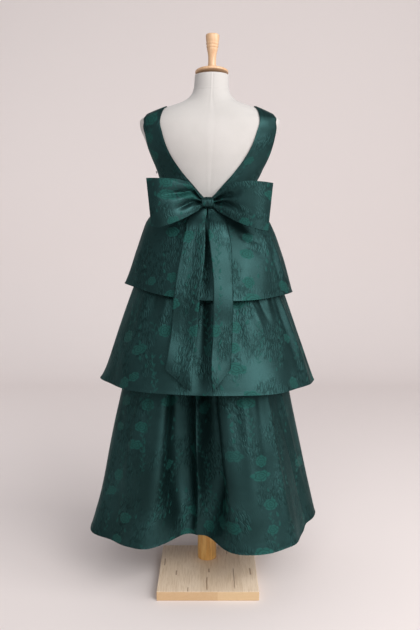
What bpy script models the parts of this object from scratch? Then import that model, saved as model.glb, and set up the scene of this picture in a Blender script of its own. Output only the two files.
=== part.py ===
"""A sleeveless three-tier jacquard dress with a bow at the back waist, on a limbless dress form.

Metres, +Z up. The wearer's back faces -Y, and +X is the wearer's right-hand side as seen from behind.
The origin is on the underside of the base board, under the pole. Turns are in degrees round the body:
0 is the right side, 90 the front, 180 the left side and 270 the centre back.
"""

import bisect
import math
from collections import namedtuple
from functools import lru_cache

import bmesh
import bpy
import numpy as np
from mathutils import Vector

# Driving dimensions
BASE_SIDE = 0.280
BASE_THICK = 0.0257
BASE_ASIDE = 0.003
BASE_BACK = -0.066
POLE_RADIUS = 0.028
FORM_BOTTOM = 0.698
NECK_TOP = 1.4300
CAP_RADIUS = 0.0460
CAP_THICK = 0.0110
CAP_TILT = math.radians(-6.0)
CAP_LIFT = CAP_RADIUS * math.sin(abs(CAP_TILT)) + 0.0003
FINIAL_TILT = math.radians(1.2)
FINIAL_LIFT = 0.0016
FINIAL_ASIDE = 0.0005
TURNED_SIDES = 20
POLE_SIDES = 40
EASED_EDGE = 0.0015
WAIST = 1.0850
CLOTH = 0.0015
GAP = 0.0004
SEAM = 0.0009
BACK = 270.0
FRONT = 90.0

Lean = namedtuple("Lean", "height aside")
LEAN = (
    Lean(0.00, 0.0000),
    Lean(0.60, 0.0005),
    Lean(1.09, 0.0030),
    Lean(1.32, 0.0095),
    Lean(1.40, 0.0130),
    Lean(1.54, 0.0165),
)

# Sections of the form: half width, depth to the front, depth to the back, and how square the oval is
Ring = namedtuple("Ring", "height half_width front back square")
FORM_RINGS = (
    Ring(0.698, 0.126, 0.084, 0.090, 2.1),
    Ring(0.706, 0.140, 0.095, 0.101, 2.1),
    Ring(0.780, 0.160, 0.108, 0.118, 2.1),
    Ring(0.860, 0.163, 0.110, 0.120, 2.1),
    Ring(0.940, 0.143, 0.100, 0.102, 2.0),
    Ring(1.010, 0.121, 0.090, 0.084, 2.0),
    Ring(1.050, 0.1155, 0.088, 0.079, 2.0),
    Ring(1.085, 0.1165, 0.090, 0.080, 2.0),
    Ring(1.130, 0.128, 0.104, 0.084, 2.1),
    Ring(1.175, 0.1440, 0.118, 0.090, 2.2),
    Ring(1.220, 0.1650, 0.119, 0.095, 2.3),
    Ring(1.260, 0.1820, 0.104, 0.096, 2.3),
    Ring(1.290, 0.1945, 0.087, 0.091, 2.3),
    Ring(1.306, 0.1955, 0.078, 0.086, 2.2),
    Ring(1.320, 0.1770, 0.070, 0.080, 2.1),
    Ring(1.332, 0.1500, 0.064, 0.074, 2.1),
    Ring(1.344, 0.1200, 0.059, 0.068, 2.0),
    Ring(1.356, 0.084, 0.055, 0.063, 2.0),
    Ring(1.372, 0.060, 0.051, 0.058, 2.0),
    Ring(1.390, 0.050, 0.0475, 0.052, 2.0),
    Ring(1.410, 0.0475, 0.0465, 0.049, 2.0),
    Ring(1.430, 0.0470, 0.0465, 0.0475, 2.0),
)

# How far the bodice's inner face stands off the form
Stand = namedtuple("Stand", "height off")
BODICE_STANDOFF = (
    Stand(1.085, 0.0046),
    Stand(1.120, 0.0028),
    Stand(1.175, 0.0018),
    Stand(1.225, 0.0030),
    Stand(1.270, 0.0017),
    Stand(1.310, 0.0017),
    Stand(1.344, 0.0020),
)

# Edges of the bodice, from the waist up: half distance from the middle, against height
Edge = namedtuple("Edge", "along half_width height")
V_EDGE = (
    Edge(0.00, 0.0012, WAIST + SEAM),
    Edge(0.10, 0.0135, 1.096),
    Edge(0.22, 0.0400, 1.126),
    Edge(0.36, 0.0700, 1.160),
    Edge(0.58, 0.1070, 1.215),
    Edge(0.77, 0.1265, 1.265),
    Edge(0.90, 0.1335, 1.303),
    Edge(0.96, 0.1280, 1.327),
    Edge(1.00, 0.1200, 1.344),
)
NECK_CENTRE = 0.66
NECK_EDGE = (
    Edge(0.00, 0.0000, WAIST + SEAM),
    Edge(0.22, 0.0000, 1.150),
    Edge(0.50, 0.0000, 1.240),
    Edge(NECK_CENTRE, 0.0000, 1.306),
    Edge(0.74, 0.0350, 1.309),
    Edge(0.84, 0.0760, 1.316),
    Edge(0.93, 0.1060, 1.329),
    Edge(1.00, 0.1200, 1.344),
)
# The side seam, then the armhole's edge over the shoulder: degrees from the side, against height
ArmEdge = namedtuple("ArmEdge", "along turn height")
ARM_EDGE = (
    ArmEdge(0.00, 0.0, WAIST + SEAM),
    ArmEdge(0.20, 0.0, 1.133),
    ArmEdge(0.36, 0.0, 1.172),
    ArmEdge(0.43, 5.0, 1.184),
    ArmEdge(0.50, 9.5, 1.203),
    ArmEdge(0.60, 13.5, 1.228),
    ArmEdge(0.72, 17.5, 1.256),
    ArmEdge(0.84, 22.0, 1.283),
    ArmEdge(0.92, 24.5, 1.302),
    ArmEdge(0.97, 18.0, 1.316),
    ArmEdge(1.00, 0.0, 1.3230),
)

# The right armhole gapes: how much further its edge stands off the form than the left one
Gape = namedtuple("Gape", "height off")
RIGHT_ARMHOLE = (
    Gape(1.085, 0.0000),
    Gape(1.120, 0.0000),
    Gape(1.165, 0.0060),
    Gape(1.220, 0.0075),
    Gape(1.262, 0.0050),
    Gape(1.300, 0.0000),
    Gape(1.344, 0.0000),
)

# Outer face of each tier: its oval section against height
Section = namedtuple("Section", "height half_width front back aside")
TIER_1 = (
    Section(WAIST, 0.1226, 0.0961, 0.0861, 0.003),
    Section(1.060, 0.1480, 0.1150, 0.1030, 0.003),
    Section(1.035, 0.1700, 0.1330, 0.1210, 0.003),
    Section(1.000, 0.1870, 0.1480, 0.1390, 0.004),
    Section(0.951, 0.2040, 0.1630, 0.1590, 0.005),
    Section(0.863, 0.2290, 0.1830, 0.1820, 0.005),
    Section(0.822, 0.2390, 0.1900, 0.1920, 0.004),
)
TIER_2 = (
    Section(WAIST, 0.1207, 0.0942, 0.0842, 0.003),
    Section(1.035, 0.1380, 0.1110, 0.1020, 0.003),
    Section(0.950, 0.1730, 0.1390, 0.1330, 0.003),
    Section(0.839, 0.2145, 0.1710, 0.1680, 0.002),
    Section(0.775, 0.2375, 0.1900, 0.1880, 0.0015),
    Section(0.667, 0.2745, 0.2190, 0.2180, 0.0015),
    Section(0.580, 0.3015, 0.2420, 0.2430, 0.0015),
)
TIER_3 = (
    Section(WAIST, 0.1188, 0.0923, 0.0823, 0.003),
    Section(1.035, 0.1300, 0.1040, 0.0950, 0.003),
    Section(0.860, 0.1750, 0.1400, 0.1380, 0.002),
    Section(0.700, 0.2135, 0.1690, 0.1670, -0.0015),
    Section(0.532, 0.2465, 0.1950, 0.1950, -0.005),
    Section(0.400, 0.2740, 0.2160, 0.2180, -0.006),
    Section(0.250, 0.3055, 0.2420, 0.2440, -0.0055),
    Section(0.155, 0.3300, 0.2600, 0.2620, -0.009),
)

# Folds: where each one stands, its half spread in degrees, its share of the radius, how it grows downward,
# and how flat its crown is (2 for a round one)
Fold = namedtuple("Fold", "turn spread share growth flat", defaults=(2,))
FOLDS_1 = (
    Fold(184, 12, 0.035, 4.0),
    Fold(357, 12, 0.016, 3.0),
    Fold(215, 15, -0.020, 1.5),
    Fold(245, 16, 0.020, 1.5),
    Fold(296, 14, 0.025, 1.5),
    Fold(325, 13, -0.020, 1.5),
    Fold(40, 15, 0.025, 1.5),
    Fold(70, 14, -0.020, 1.5),
    Fold(108, 15, 0.022, 1.5),
    Fold(146, 14, -0.018, 1.5),
)
FOLDS_2 = (
    Fold(183, 12, 0.034, 16.0),
    Fold(2, 10, 0.022, 4.0),
    Fold(205, 13, -0.025, 1.5),
    Fold(232, 14, 0.020, 1.5),
    Fold(262, 15, -0.015, 1.5),
    Fold(302, 13, 0.035, 1.4),
    Fold(327, 11, -0.030, 1.6),
    Fold(30, 13, 0.028, 1.5),
    Fold(58, 13, -0.025, 1.5),
    Fold(88, 15, 0.026, 1.5),
    Fold(122, 14, -0.025, 1.5),
    Fold(150, 13, 0.026, 1.5),
)
FOLDS_3 = (
    Fold(201, 10, 0.030, 2.5),
    Fold(217, 8, -0.030, 1.6),
    Fold(262.5, 16, -0.420, 1.7, 4),
    Fold(297, 16, 0.150, 1.5),
    Fold(314, 8, 0.052, 2.0),
    Fold(341, 11, -0.055, 1.7),
    Fold(5, 10, 0.020, 2.0),
    Fold(28, 14, 0.060, 1.5),
    Fold(58, 14, -0.100, 1.6),
    Fold(88, 15, 0.080, 1.5),
    Fold(118, 14, -0.090, 1.6),
    Fold(148, 14, 0.060, 1.5),
    Fold(172, 10, -0.040, 1.5),
)

Tier = namedtuple("Tier", "sections folds hem side_lift tilt")
TIERS = {
    "tier_1": Tier(TIER_1, FOLDS_1, 0.822, 0.020, -0.012),
    "tier_2": Tier(TIER_2, FOLDS_2, 0.580, -0.004, -0.004),
    "tier_3": Tier(TIER_3, FOLDS_3, 0.163, -0.009, 0.008),
}
TIER_DROPS = (1.0, 0.955, 0.83, 0.68, 0.52, 0.36, 0.21, 0.09, 0.0)
TIER_STEP = 6.0
FORM_SIDES = 48
CHEST_HEIGHTS = (1.1525, 1.1975, 1.2400, 1.2760)

# The bow: each loop is a band that runs out from the knot, folds over and comes back. Its front and back
# layers are measured from the knot's middle, away from the body and towards it
Loop = namedtuple("Loop", "out top bottom front back")
LOOP_RIGHT = (
    Loop(0.0100, 1.0881, 1.0649, 0.0096, 0.0096),
    Loop(0.0165, 1.0886, 1.0642, 0.0108, 0.0090),
    Loop(0.0260, 1.0980, 1.0550, 0.0150, 0.0060),
    Loop(0.0450, 1.1170, 1.0440, 0.0260, 0.0020),
    Loop(0.0750, 1.1280, 1.0280, 0.0390, -0.0010),
    Loop(0.1100, 1.1310, 1.0140, 0.0440, -0.0040),
    Loop(0.1465, 1.1290, 1.0050, 0.0380, -0.0080),
    Loop(0.1675, 1.1270, 1.0030, 0.0230, -0.0190),
)
LOOP_LEFT = (
    Loop(0.0100, 1.0881, 1.0649, 0.0096, 0.0096),
    Loop(0.0165, 1.0886, 1.0642, 0.0108, 0.0090),
    Loop(0.0250, 1.0980, 1.0560, 0.0150, 0.0060),
    Loop(0.0400, 1.1190, 1.0470, 0.0260, 0.0020),
    Loop(0.0720, 1.1330, 1.0310, 0.0390, -0.0010),
    Loop(0.1040, 1.1370, 1.0190, 0.0440, -0.0040),
    Loop(0.1360, 1.1390, 1.0110, 0.0380, -0.0080),
    Loop(0.1570, 1.1400, 1.0150, 0.0230, -0.0190),
)
Pleat = namedtuple("Pleat", "across spread depth reach")
PLEATS = (
    Pleat(0.45, 0.16, 0.0090, 0.62),
    Pleat(-0.08, 0.14, 0.0100, 0.70),
    Pleat(-0.55, 0.13, 0.0070, 0.55),
)
LOOP_STEPS = (0.0, 0.045, 0.10, 0.19, 0.32, 0.46, 0.60, 0.74, 0.86, 0.94, 0.985, 1.0)
LOOP_SLANT = 0.012
BACK_LAYER_RISE = 0.004
KNOT_ASIDE = 0.003
KNOT_HALF_WIDTH = 0.0150
KNOT_HALF_HEIGHT = 0.0155
KNOT_HALF_DEPTH = 0.0200
KNOT_SQUARE = 2.6
KNOT_PINCH = 0.10
KNOT_SIDES = 24
KNOT_CENTRE = Vector((KNOT_ASIDE, -0.1161, 1.0765))

Tail = namedtuple("Tail", "height left right")
TAIL_LEFT = (
    Tail(1.0603, -0.0110, 0.0010),
    Tail(1.0480, -0.0330, 0.0000),
    Tail(1.0300, -0.0510, -0.0020),
    Tail(1.0000, -0.0580, -0.0025),
    Tail(0.9400, -0.0696, -0.0042),
    Tail(0.8600, -0.0826, -0.0135),
    Tail(0.7970, -0.0896, -0.0195),
    Tail(0.7300, -0.0950, -0.0250),
    Tail(0.6700, -0.1050, -0.0345),
    Tail(0.5900, -0.1200, -0.0386),
)
TAIL_RIGHT = (
    Tail(1.0603, 0.0050, 0.0170),
    Tail(1.0480, 0.0045, 0.0380),
    Tail(1.0300, 0.0040, 0.0520),
    Tail(1.0000, 0.0045, 0.0595),
    Tail(0.9650, 0.0075, 0.0655),
    Tail(0.9170, 0.0129, 0.0676),
    Tail(0.8610, 0.0168, 0.0692),
    Tail(0.8050, 0.0165, 0.0696),
    Tail(0.7300, 0.0147, 0.0672),
    Tail(0.6450, 0.0111, 0.0627),
    Tail(0.5940, 0.0147, 0.0600),
)
TAIL_POINT = 0.5910
TAIL_SLANT = 0.056
TAIL_OFF = 0.0018
TAIL_BULGE = 0.010
TAIL_SETTLES = 1.000
TAIL_CLOTH = 0.0012

# The zip's slider, at the top of the left side seam
SLIDER_HEIGHT = 1.168
SLIDER_SIZE = (0.0022, 0.0050, 0.0110)
SLIDER_OFF = 0.0016
SLIDER_LEAN = -20.0


@lru_cache(maxsize=None)
def curve_of(table, column, key):
    """Places, values and slopes of a smooth curve through one column of a table, without overshoot."""
    places = np.array([getattr(row, key) for row in table])
    values = np.array([getattr(row, column) for row in table])
    if places[0] > places[-1]:
        places = places[::-1]
        values = values[::-1]
    slopes = np.gradient(values, places)
    for i, step in enumerate(np.diff(values) / np.diff(places)):
        limit = 3.0 * abs(step)
        slopes[i] = np.clip(slopes[i], -limit, limit)
        slopes[i + 1] = np.clip(slopes[i + 1], -limit, limit)
    return places.tolist(), values.tolist(), slopes.tolist()


def read_table(table, column, key, where):
    """Value of a column at a place in the table, on the smooth curve through its rows."""
    places, values, slopes = curve_of(table, column, key)
    if where <= places[0]:
        return values[0] + slopes[0] * (where - places[0])
    if where >= places[-1]:
        return values[-1] + slopes[-1] * (where - places[-1])
    i = bisect.bisect_right(places, where) - 1
    width = places[i + 1] - places[i]
    t = (where - places[i]) / width
    start = values[i] * (2 * t**3 - 3 * t**2 + 1) + slopes[i] * width * (t**3 - 2 * t**2 + t)
    end = values[i + 1] * (3 * t**2 - 2 * t**3) + slopes[i + 1] * width * (t**3 - t**2)
    return start + end


def lean_at(height):
    return read_table(LEAN, "aside", "height", height)


def oval(turn, half_width, front, back, square):
    """Point of an oval section with its own depth to the front and to the back."""
    angle = math.radians(turn)
    side = math.cos(angle)
    way = math.sin(angle)
    depth = front if way > 0 else back
    x = math.copysign(abs(side) ** (2 / square), side) * half_width
    y = math.copysign(abs(way) ** (2 / square), way) * depth
    return x, y


def skin_point(turn, height):
    """Point on the form's skin."""
    half_width = read_table(FORM_RINGS, "half_width", "height", height)
    front = read_table(FORM_RINGS, "front", "height", height)
    back = read_table(FORM_RINGS, "back", "height", height)
    square = read_table(FORM_RINGS, "square", "height", height)
    x, y = oval(turn, half_width, front, back, square)
    return Vector((x + lean_at(height), y, height))


def form_point(turn, height, off):
    """Point that stands straight off the form's skin."""
    round_way = skin_point(turn + 1.0, height) - skin_point(turn - 1.0, height)
    up_way = skin_point(turn, height + 0.001) - skin_point(turn, height - 0.001)
    return skin_point(turn, height) + off * round_way.cross(up_way).normalized()


def turn_from_side(x, height):
    """Degrees from the side at which the form's skin is this far from its middle."""
    half_width = read_table(FORM_RINGS, "half_width", "height", height)
    square = read_table(FORM_RINGS, "square", "height", height)
    share = min(1.0, max(0.0, x / half_width))
    return math.degrees(math.acos(share ** (square / 2)))


def hem_height(tier, turn):
    side = math.cos(math.radians(turn))
    return tier.hem + tier.side_lift * side**2 + tier.tilt * side


def tier_at_height(tier, turn, height):
    """Point on a tier's outer face. Its folds start at the waist seam and grow down to the hem."""
    half_width = read_table(tier.sections, "half_width", "height", height)
    front = read_table(tier.sections, "front", "height", height)
    back = read_table(tier.sections, "back", "height", height)
    aside = read_table(tier.sections, "aside", "height", height)
    drop = min(1.0, max(0.0, (WAIST - height) / (WAIST - hem_height(tier, turn))))
    swell = 1.0
    for fold in tier.folds:
        away = (turn - fold.turn + 180) % 360 - 180
        swell += fold.share * math.exp(-(abs(away / fold.spread) ** fold.flat)) * drop**fold.growth
    x, y = oval(turn, half_width, front, back, 2.0)
    return Vector((x * swell + aside, y * swell, height))


def tier_point(tier, turn, drop):
    """Point on a tier's outer face: drop is 0 at the waist seam and 1 at the hem."""
    top = WAIST - GAP
    return tier_at_height(tier, turn, top + drop * (hem_height(tier, turn) - top))


def tier_back_y(tier, x, height):
    """Depth of a tier's outer face behind the body, here or straight above where its hem has ended."""
    low, high = 185.0, 355.0
    for _ in range(24):
        middle = (low + high) / 2
        if tier_at_height(tier, middle, max(height, hem_height(tier, middle))).x < x:
            low = middle
        else:
            high = middle
    return tier_at_height(tier, low, max(height, hem_height(tier, low))).y


def new_material(name, colour, roughness, metallic=0.0):
    material = bpy.data.materials.new(name)
    material.use_nodes = True
    shader = material.node_tree.nodes["Principled BSDF"]
    shader.inputs["Base Color"].default_value = (*colour, 1.0)
    shader.inputs["Roughness"].default_value = roughness
    shader.inputs["Metallic"].default_value = metallic
    return material


def new_object(name, mesh, material):
    obj = bpy.data.objects.new(name, mesh)
    mesh.materials.append(material)
    DRESS.objects.link(obj)
    return obj


def cloth_sheet(name, point, columns, rows, outward, wall=CLOTH):
    """A sheet of cloth over a grid of points, thickened to a wall on one side of them."""
    shape = bmesh.new()
    grid = [[shape.verts.new(point(u, v)) for u in columns] for v in rows]
    for low, high in zip(grid, grid[1:]):
        for i in range(len(columns) - 1):
            shape.faces.new((low[i], low[i + 1], high[i + 1], high[i]))
    return thicken(name, shape, outward, wall)


def thicken(name, shape, outward, wall):
    """Makes a cloth object of an open surface, whose wall grows along its normals or against them."""
    bmesh.ops.remove_doubles(shape, verts=shape.verts, dist=1e-6)
    mesh = bpy.data.meshes.new(name)
    shape.to_mesh(mesh)
    shape.free()
    obj = new_object(name, mesh, CLOTH_LOOK)
    wall_maker = obj.modifiers.new("wall", "SOLIDIFY")
    wall_maker.thickness = wall
    wall_maker.offset = 1.0 if outward else -1.0
    mesh.shade_smooth()
    return obj


def spaced(start, end, count):
    return np.linspace(start, end, count).tolist()


def seam_turn(reach):
    """Degrees on a tier or bodice that keep half a seam's gap at this distance from the middle."""
    return math.degrees(SEAM / 2 / reach)


def add_base_board():
    bpy.ops.mesh.primitive_cube_add(size=1, location=(BASE_ASIDE, BASE_BACK, BASE_THICK / 2))
    board = bpy.context.object
    board.name = "base_board"
    board.scale = (BASE_SIDE, BASE_SIDE, BASE_THICK)
    bpy.ops.object.transform_apply(location=False, rotation=False, scale=True)
    edge = board.modifiers.new("eased_edges", "BEVEL")
    edge.width = EASED_EDGE
    edge.segments = 2
    board.data.materials.append(PALE_WOOD)
    move_to_part(board)


def add_pole():
    bottom = BASE_THICK + GAP
    top = FORM_BOTTOM - GAP
    middle = (bottom + top) / 2
    bpy.ops.mesh.primitive_cylinder_add(
        vertices=POLE_SIDES, radius=POLE_RADIUS, depth=top - bottom, location=(0, 0, middle)
    )
    pole = bpy.context.object
    pole.name = "pole"
    pole.data.materials.append(HONEY_WOOD)
    pole.data.shade_smooth()
    pole.data.set_sharp_from_angle(angle=math.radians(40))
    move_to_part(pole)


def move_to_part(obj):
    for owner in list(obj.users_collection):
        owner.objects.unlink(obj)
    DRESS.objects.link(obj)


def add_form_torso():
    turns = [360 * i / FORM_SIDES for i in range(FORM_SIDES)]
    heights = sorted([ring.height for ring in FORM_RINGS] + list(CHEST_HEIGHTS))
    shape = bmesh.new()
    rings = [[shape.verts.new(skin_point(turn, height)) for turn in turns] for height in heights]
    for low, high in zip(rings, rings[1:]):
        for i in range(len(turns)):
            j = (i + 1) % len(turns)
            shape.faces.new((low[i], low[j], high[j], high[i]))
    shape.faces.new(rings[0][::-1])
    shape.faces.new(rings[-1])
    mesh = bpy.data.meshes.new("form_torso")
    shape.to_mesh(mesh)
    shape.free()
    new_object("form_torso", mesh, FORM_COVER)
    mesh.shade_smooth()
    mesh.set_sharp_from_angle(angle=math.radians(50))


def turned_piece(name, profile, place, tilt, material):
    """A turned piece: the profile runs down its outer side as pairs of radius and height."""
    mesh = bpy.data.meshes.new(name)
    points = [(radius, 0, height) for radius, height in profile]
    mesh.from_pydata(points, [(i, i + 1) for i in range(len(points) - 1)], [])
    obj = new_object(name, mesh, material)
    obj.location = place
    obj.rotation_euler = tilt
    turning = obj.modifiers.new("turning", "SCREW")
    turning.steps = TURNED_SIDES
    turning.render_steps = TURNED_SIDES
    turning.use_merge_vertices = True
    turning.merge_threshold = 0.0001
    mesh.shade_smooth()
    return obj


def add_neck_cap():
    profile = (
        (0.0, CAP_THICK),
        (0.020, CAP_THICK - 0.0004),
        (0.038, CAP_THICK - 0.0022),
        (0.0445, CAP_THICK - 0.0040),
        (CAP_RADIUS, CAP_THICK - 0.0058),
        (CAP_RADIUS, 0.0015),
        (0.0448, 0.0),
        (0.0, 0.0),
    )
    place = (lean_at(NECK_TOP), 0.0, NECK_TOP + CAP_LIFT)
    turned_piece("neck_cap", profile, place, (CAP_TILT, 0, 0), NECK_WOOD)


def add_finial():
    # Radius against height above the cap: foot, three turned rings and the rounded top
    profile = (
        (0.0, 0.0930),
        (0.0070, 0.0925),
        (0.0135, 0.0900),
        (0.0172, 0.0855),
        (0.0185, 0.0800),
        (0.0180, 0.0740),
        (0.0168, 0.0690),
        (0.0176, 0.0665),
        (0.0160, 0.0640),
        (0.0166, 0.0590),
        (0.0150, 0.0560),
        (0.0148, 0.0500),
        (0.0126, 0.0420),
        (0.0114, 0.0320),
        (0.0108, 0.0220),
        (0.0112, 0.0110),
        (0.0132, 0.0030),
        (0.0140, 0.0),
        (0.0, 0.0),
    )
    foot = NECK_TOP + CAP_LIFT + CAP_THICK + FINIAL_LIFT
    place = (lean_at(foot) + FINIAL_ASIDE, 0.0, foot)
    turned_piece("finial", profile, place, (0, FINIAL_TILT, 0), NECK_WOOD)


def bodice_half_point(inner_edge, middle_turn, side_turn, along, across):
    """Point of half a bodice: across is 0 at the middle edge and 1 at the side seam and armhole."""
    inner_height = read_table(inner_edge, "height", "along", along)
    outer_height = read_table(ARM_EDGE, "height", "along", along)
    inner_x = max(0.0, read_table(inner_edge, "half_width", "along", along))
    seam = seam_turn(0.08)
    inner_from_side = max(seam, turn_from_side(inner_x, inner_height))
    outer_from_side = max(seam, read_table(ARM_EDGE, "turn", "along", along))
    from_side = inner_from_side + across * (outer_from_side - inner_from_side)
    height = inner_height + across * (outer_height - inner_height)
    turn = side_turn + from_side * (middle_turn - side_turn) / 90
    off = read_table(BODICE_STANDOFF, "off", "height", height)
    if side_turn != 180.0:
        off += read_table(RIGHT_ARMHOLE, "off", "height", height) * across**2
    return form_point(turn, height, off)


def strap_rows():
    """Shares along the bodice, closer together where the strap rounds the shoulder."""
    return spaced(0, NECK_CENTRE, 10) + spaced(0.72, 0.88, 3) + spaced(0.91, 1, 5)


def add_bodice_backs():
    across = spaced(0, 1, 9)
    along = strap_rows()
    for name, side, order in (("bodice_back_left", 180.0, -1), ("bodice_back_right", 360.0, 1)):
        def point(u, v, side=side):
            return bodice_half_point(V_EDGE, BACK, side, v, u)

        cloth_sheet(name, point, across[::order], along, outward=True)


def add_bodice_front():
    across = spaced(0, 1, 12)
    along = strap_rows()
    shape = bmesh.new()
    for side, order in ((0.0, 1), (180.0, -1)):
        grid = []
        for v in along:
            row = [bodice_half_point(NECK_EDGE, FRONT, side, v, u) for u in across[::order]]
            grid.append([shape.verts.new(place) for place in row])
        for low, high in zip(grid, grid[1:]):
            for i in range(len(across) - 1):
                shape.faces.new((low[i + 1], low[i], high[i], high[i + 1]))
    thicken("bodice_front", shape, outward=True, wall=CLOTH)


def add_tiers():
    panels = (
        ("tier_1", "front", 0, 180),
        ("tier_1", "back", 180, 360),
        ("tier_2", "front", 0, 180),
        ("tier_2", "back", 180, 360),
        ("tier_3", "front", 0, 180),
        ("tier_3", "back_left", 180, 262),
        ("tier_3", "back_right", 262, 360),
    )
    for tier_name, panel, start, end in panels:
        tier = TIERS[tier_name]
        count = round((end - start) / TIER_STEP) + 1

        def point(u, v, tier=tier, start=start, end=end):
            reach = (tier_point(tier, u, v) - Vector((0, 0, tier_point(tier, u, v).z))).length
            seam = seam_turn(reach)
            return tier_point(tier, min(max(u, start + seam), end - seam), v)

        cloth_sheet(tier_name + "_" + panel, point, spaced(start, end, count), TIER_DROPS, outward=False)


def loop_point(table, way, reach, on_front, across):
    """Point of a bow loop: reach is 0 at the knot and 1 at the outer fold, across runs bottom to top."""
    start, end = table[0].out, table[-1].out
    out = start + (end - start) * reach
    top = read_table(table, "top", "out", out)
    bottom = read_table(table, "bottom", "out", out)
    if on_front:
        y = KNOT_CENTRE.y - read_table(table, "front", "out", out)
    else:
        y = KNOT_CENTRE.y + read_table(table, "back", "out", out)
    span = 2 * across - 1
    if on_front:
        for pleat in PLEATS:
            strength = math.sin(math.pi * min(1.0, reach / pleat.reach))
            y += pleat.depth * strength * math.exp(-(((span - pleat.across) / pleat.spread) ** 2))
    else:
        top += BACK_LAYER_RISE * math.sin(math.pi * reach)
    slant = LOOP_SLANT * (across - 0.6) * reach**2
    return Vector((KNOT_ASIDE + way * (out + slant), y, bottom + across * (top - bottom)))


def add_bow_loops():
    across = spaced(0, 1, 10)
    front = [(reach, True) for reach in LOOP_STEPS]
    back = [(reach, False) for reach in LOOP_STEPS[-2::-1]]
    for name, table, way in (("bow_loop_left", LOOP_LEFT, -1), ("bow_loop_right", LOOP_RIGHT, 1)):
        def point(u, v, table=table, way=way):
            return loop_point(table, way, u[0], u[1], v)

        cloth_sheet(name, point, (front + back)[::way], across, outward=False)


def add_bow_knot():
    """The band round the middle: a short tube whose axis runs from side to side."""
    shape = bmesh.new()
    rings = []
    for side in (-1.0, -0.5, 0.0, 0.5, 1.0):
        waist = 1.0 - KNOT_PINCH * (1 - side**2)
        ring = []
        for i in range(KNOT_SIDES):
            half_height = KNOT_HALF_HEIGHT * waist
            y, z = oval(360 * i / KNOT_SIDES, KNOT_HALF_DEPTH * waist, half_height, half_height, KNOT_SQUARE)
            ring.append(shape.verts.new(KNOT_CENTRE + Vector((side * KNOT_HALF_WIDTH, y, z))))
        rings.append(ring)
    for near, far in zip(rings, rings[1:]):
        for i in range(KNOT_SIDES):
            j = (i + 1) % KNOT_SIDES
            shape.faces.new((near[i], near[j], far[j], far[i]))
    thicken("bow_knot", shape, outward=False, wall=CLOTH)


def tail_y(x, height):
    """Depth of a tail's inner face: on tier 1, hanging from its hem, then on tier 2."""
    first = tier_back_y(TIERS["tier_1"], x, height)
    second = tier_back_y(TIERS["tier_2"], x, height)
    near_knot = min(1.0, max(0.0, (height - TAIL_SETTLES) / (TAIL_LEFT[0].height - TAIL_SETTLES)))
    return min(first, second) - TAIL_OFF - TAIL_BULGE * near_knot**2


def add_bow_tails():
    across = spaced(0, 1, 6)
    along = spaced(0, 1, 25)
    tails = (("bow_tail_left", TAIL_LEFT, -1), ("bow_tail_right", TAIL_RIGHT, 1))
    for name, table, way in tails:
        top = table[0].height

        def point(u, v, table=table, way=way, top=top):
            from_point = (1 - u) if way < 0 else u
            end = TAIL_POINT + TAIL_SLANT * from_point
            height = end + v * (top - end)
            left = read_table(table, "left", "height", height)
            right = read_table(table, "right", "height", height)
            x = left + u * (right - left)
            return Vector((x, tail_y(x, height), height))

        cloth_sheet(name, point, across, along, outward=True, wall=TAIL_CLOTH)


def add_zip_slider():
    off = read_table(BODICE_STANDOFF, "off", "height", SLIDER_HEIGHT) + CLOTH
    place = form_point(180.0, SLIDER_HEIGHT, off) - Vector((SLIDER_OFF, 0, 0))
    bpy.ops.mesh.primitive_cube_add(size=1, location=place)
    slider = bpy.context.object
    slider.name = "zip_slider"
    slider.scale = SLIDER_SIZE
    bpy.ops.object.transform_apply(location=False, rotation=False, scale=True)
    slider.rotation_euler = (0, math.radians(SLIDER_LEAN), 0)
    edge = slider.modifiers.new("rounded", "BEVEL")
    edge.width = 0.0008
    edge.segments = 2
    slider.data.materials.append(SLIDER_METAL)
    move_to_part(slider)


for old in list(bpy.data.objects):
    bpy.data.objects.remove(old, do_unlink=True)
DRESS = bpy.data.collections.new("jacquard_dress_on_form")
bpy.context.scene.collection.children.link(DRESS)

CLOTH_LOOK = new_material("green_jacquard", (0.010, 0.055, 0.052), 0.45)
FORM_COVER = new_material("form_cover", (0.74, 0.71, 0.68), 0.85)
NECK_WOOD = new_material("neck_wood", (0.66, 0.42, 0.24), 0.5)
HONEY_WOOD = new_material("pole_wood", (0.46, 0.24, 0.08), 0.45)
PALE_WOOD = new_material("board_wood", (0.62, 0.44, 0.27), 0.6)
SLIDER_METAL = new_material("slider_metal", (0.35, 0.37, 0.36), 0.35, 0.9)

add_base_board()
add_pole()
add_form_torso()
add_neck_cap()
add_finial()
add_bodice_backs()
add_bodice_front()
add_tiers()
add_bow_loops()
add_bow_knot()
add_bow_tails()
add_zip_slider()
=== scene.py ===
import math
from collections import namedtuple

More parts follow.
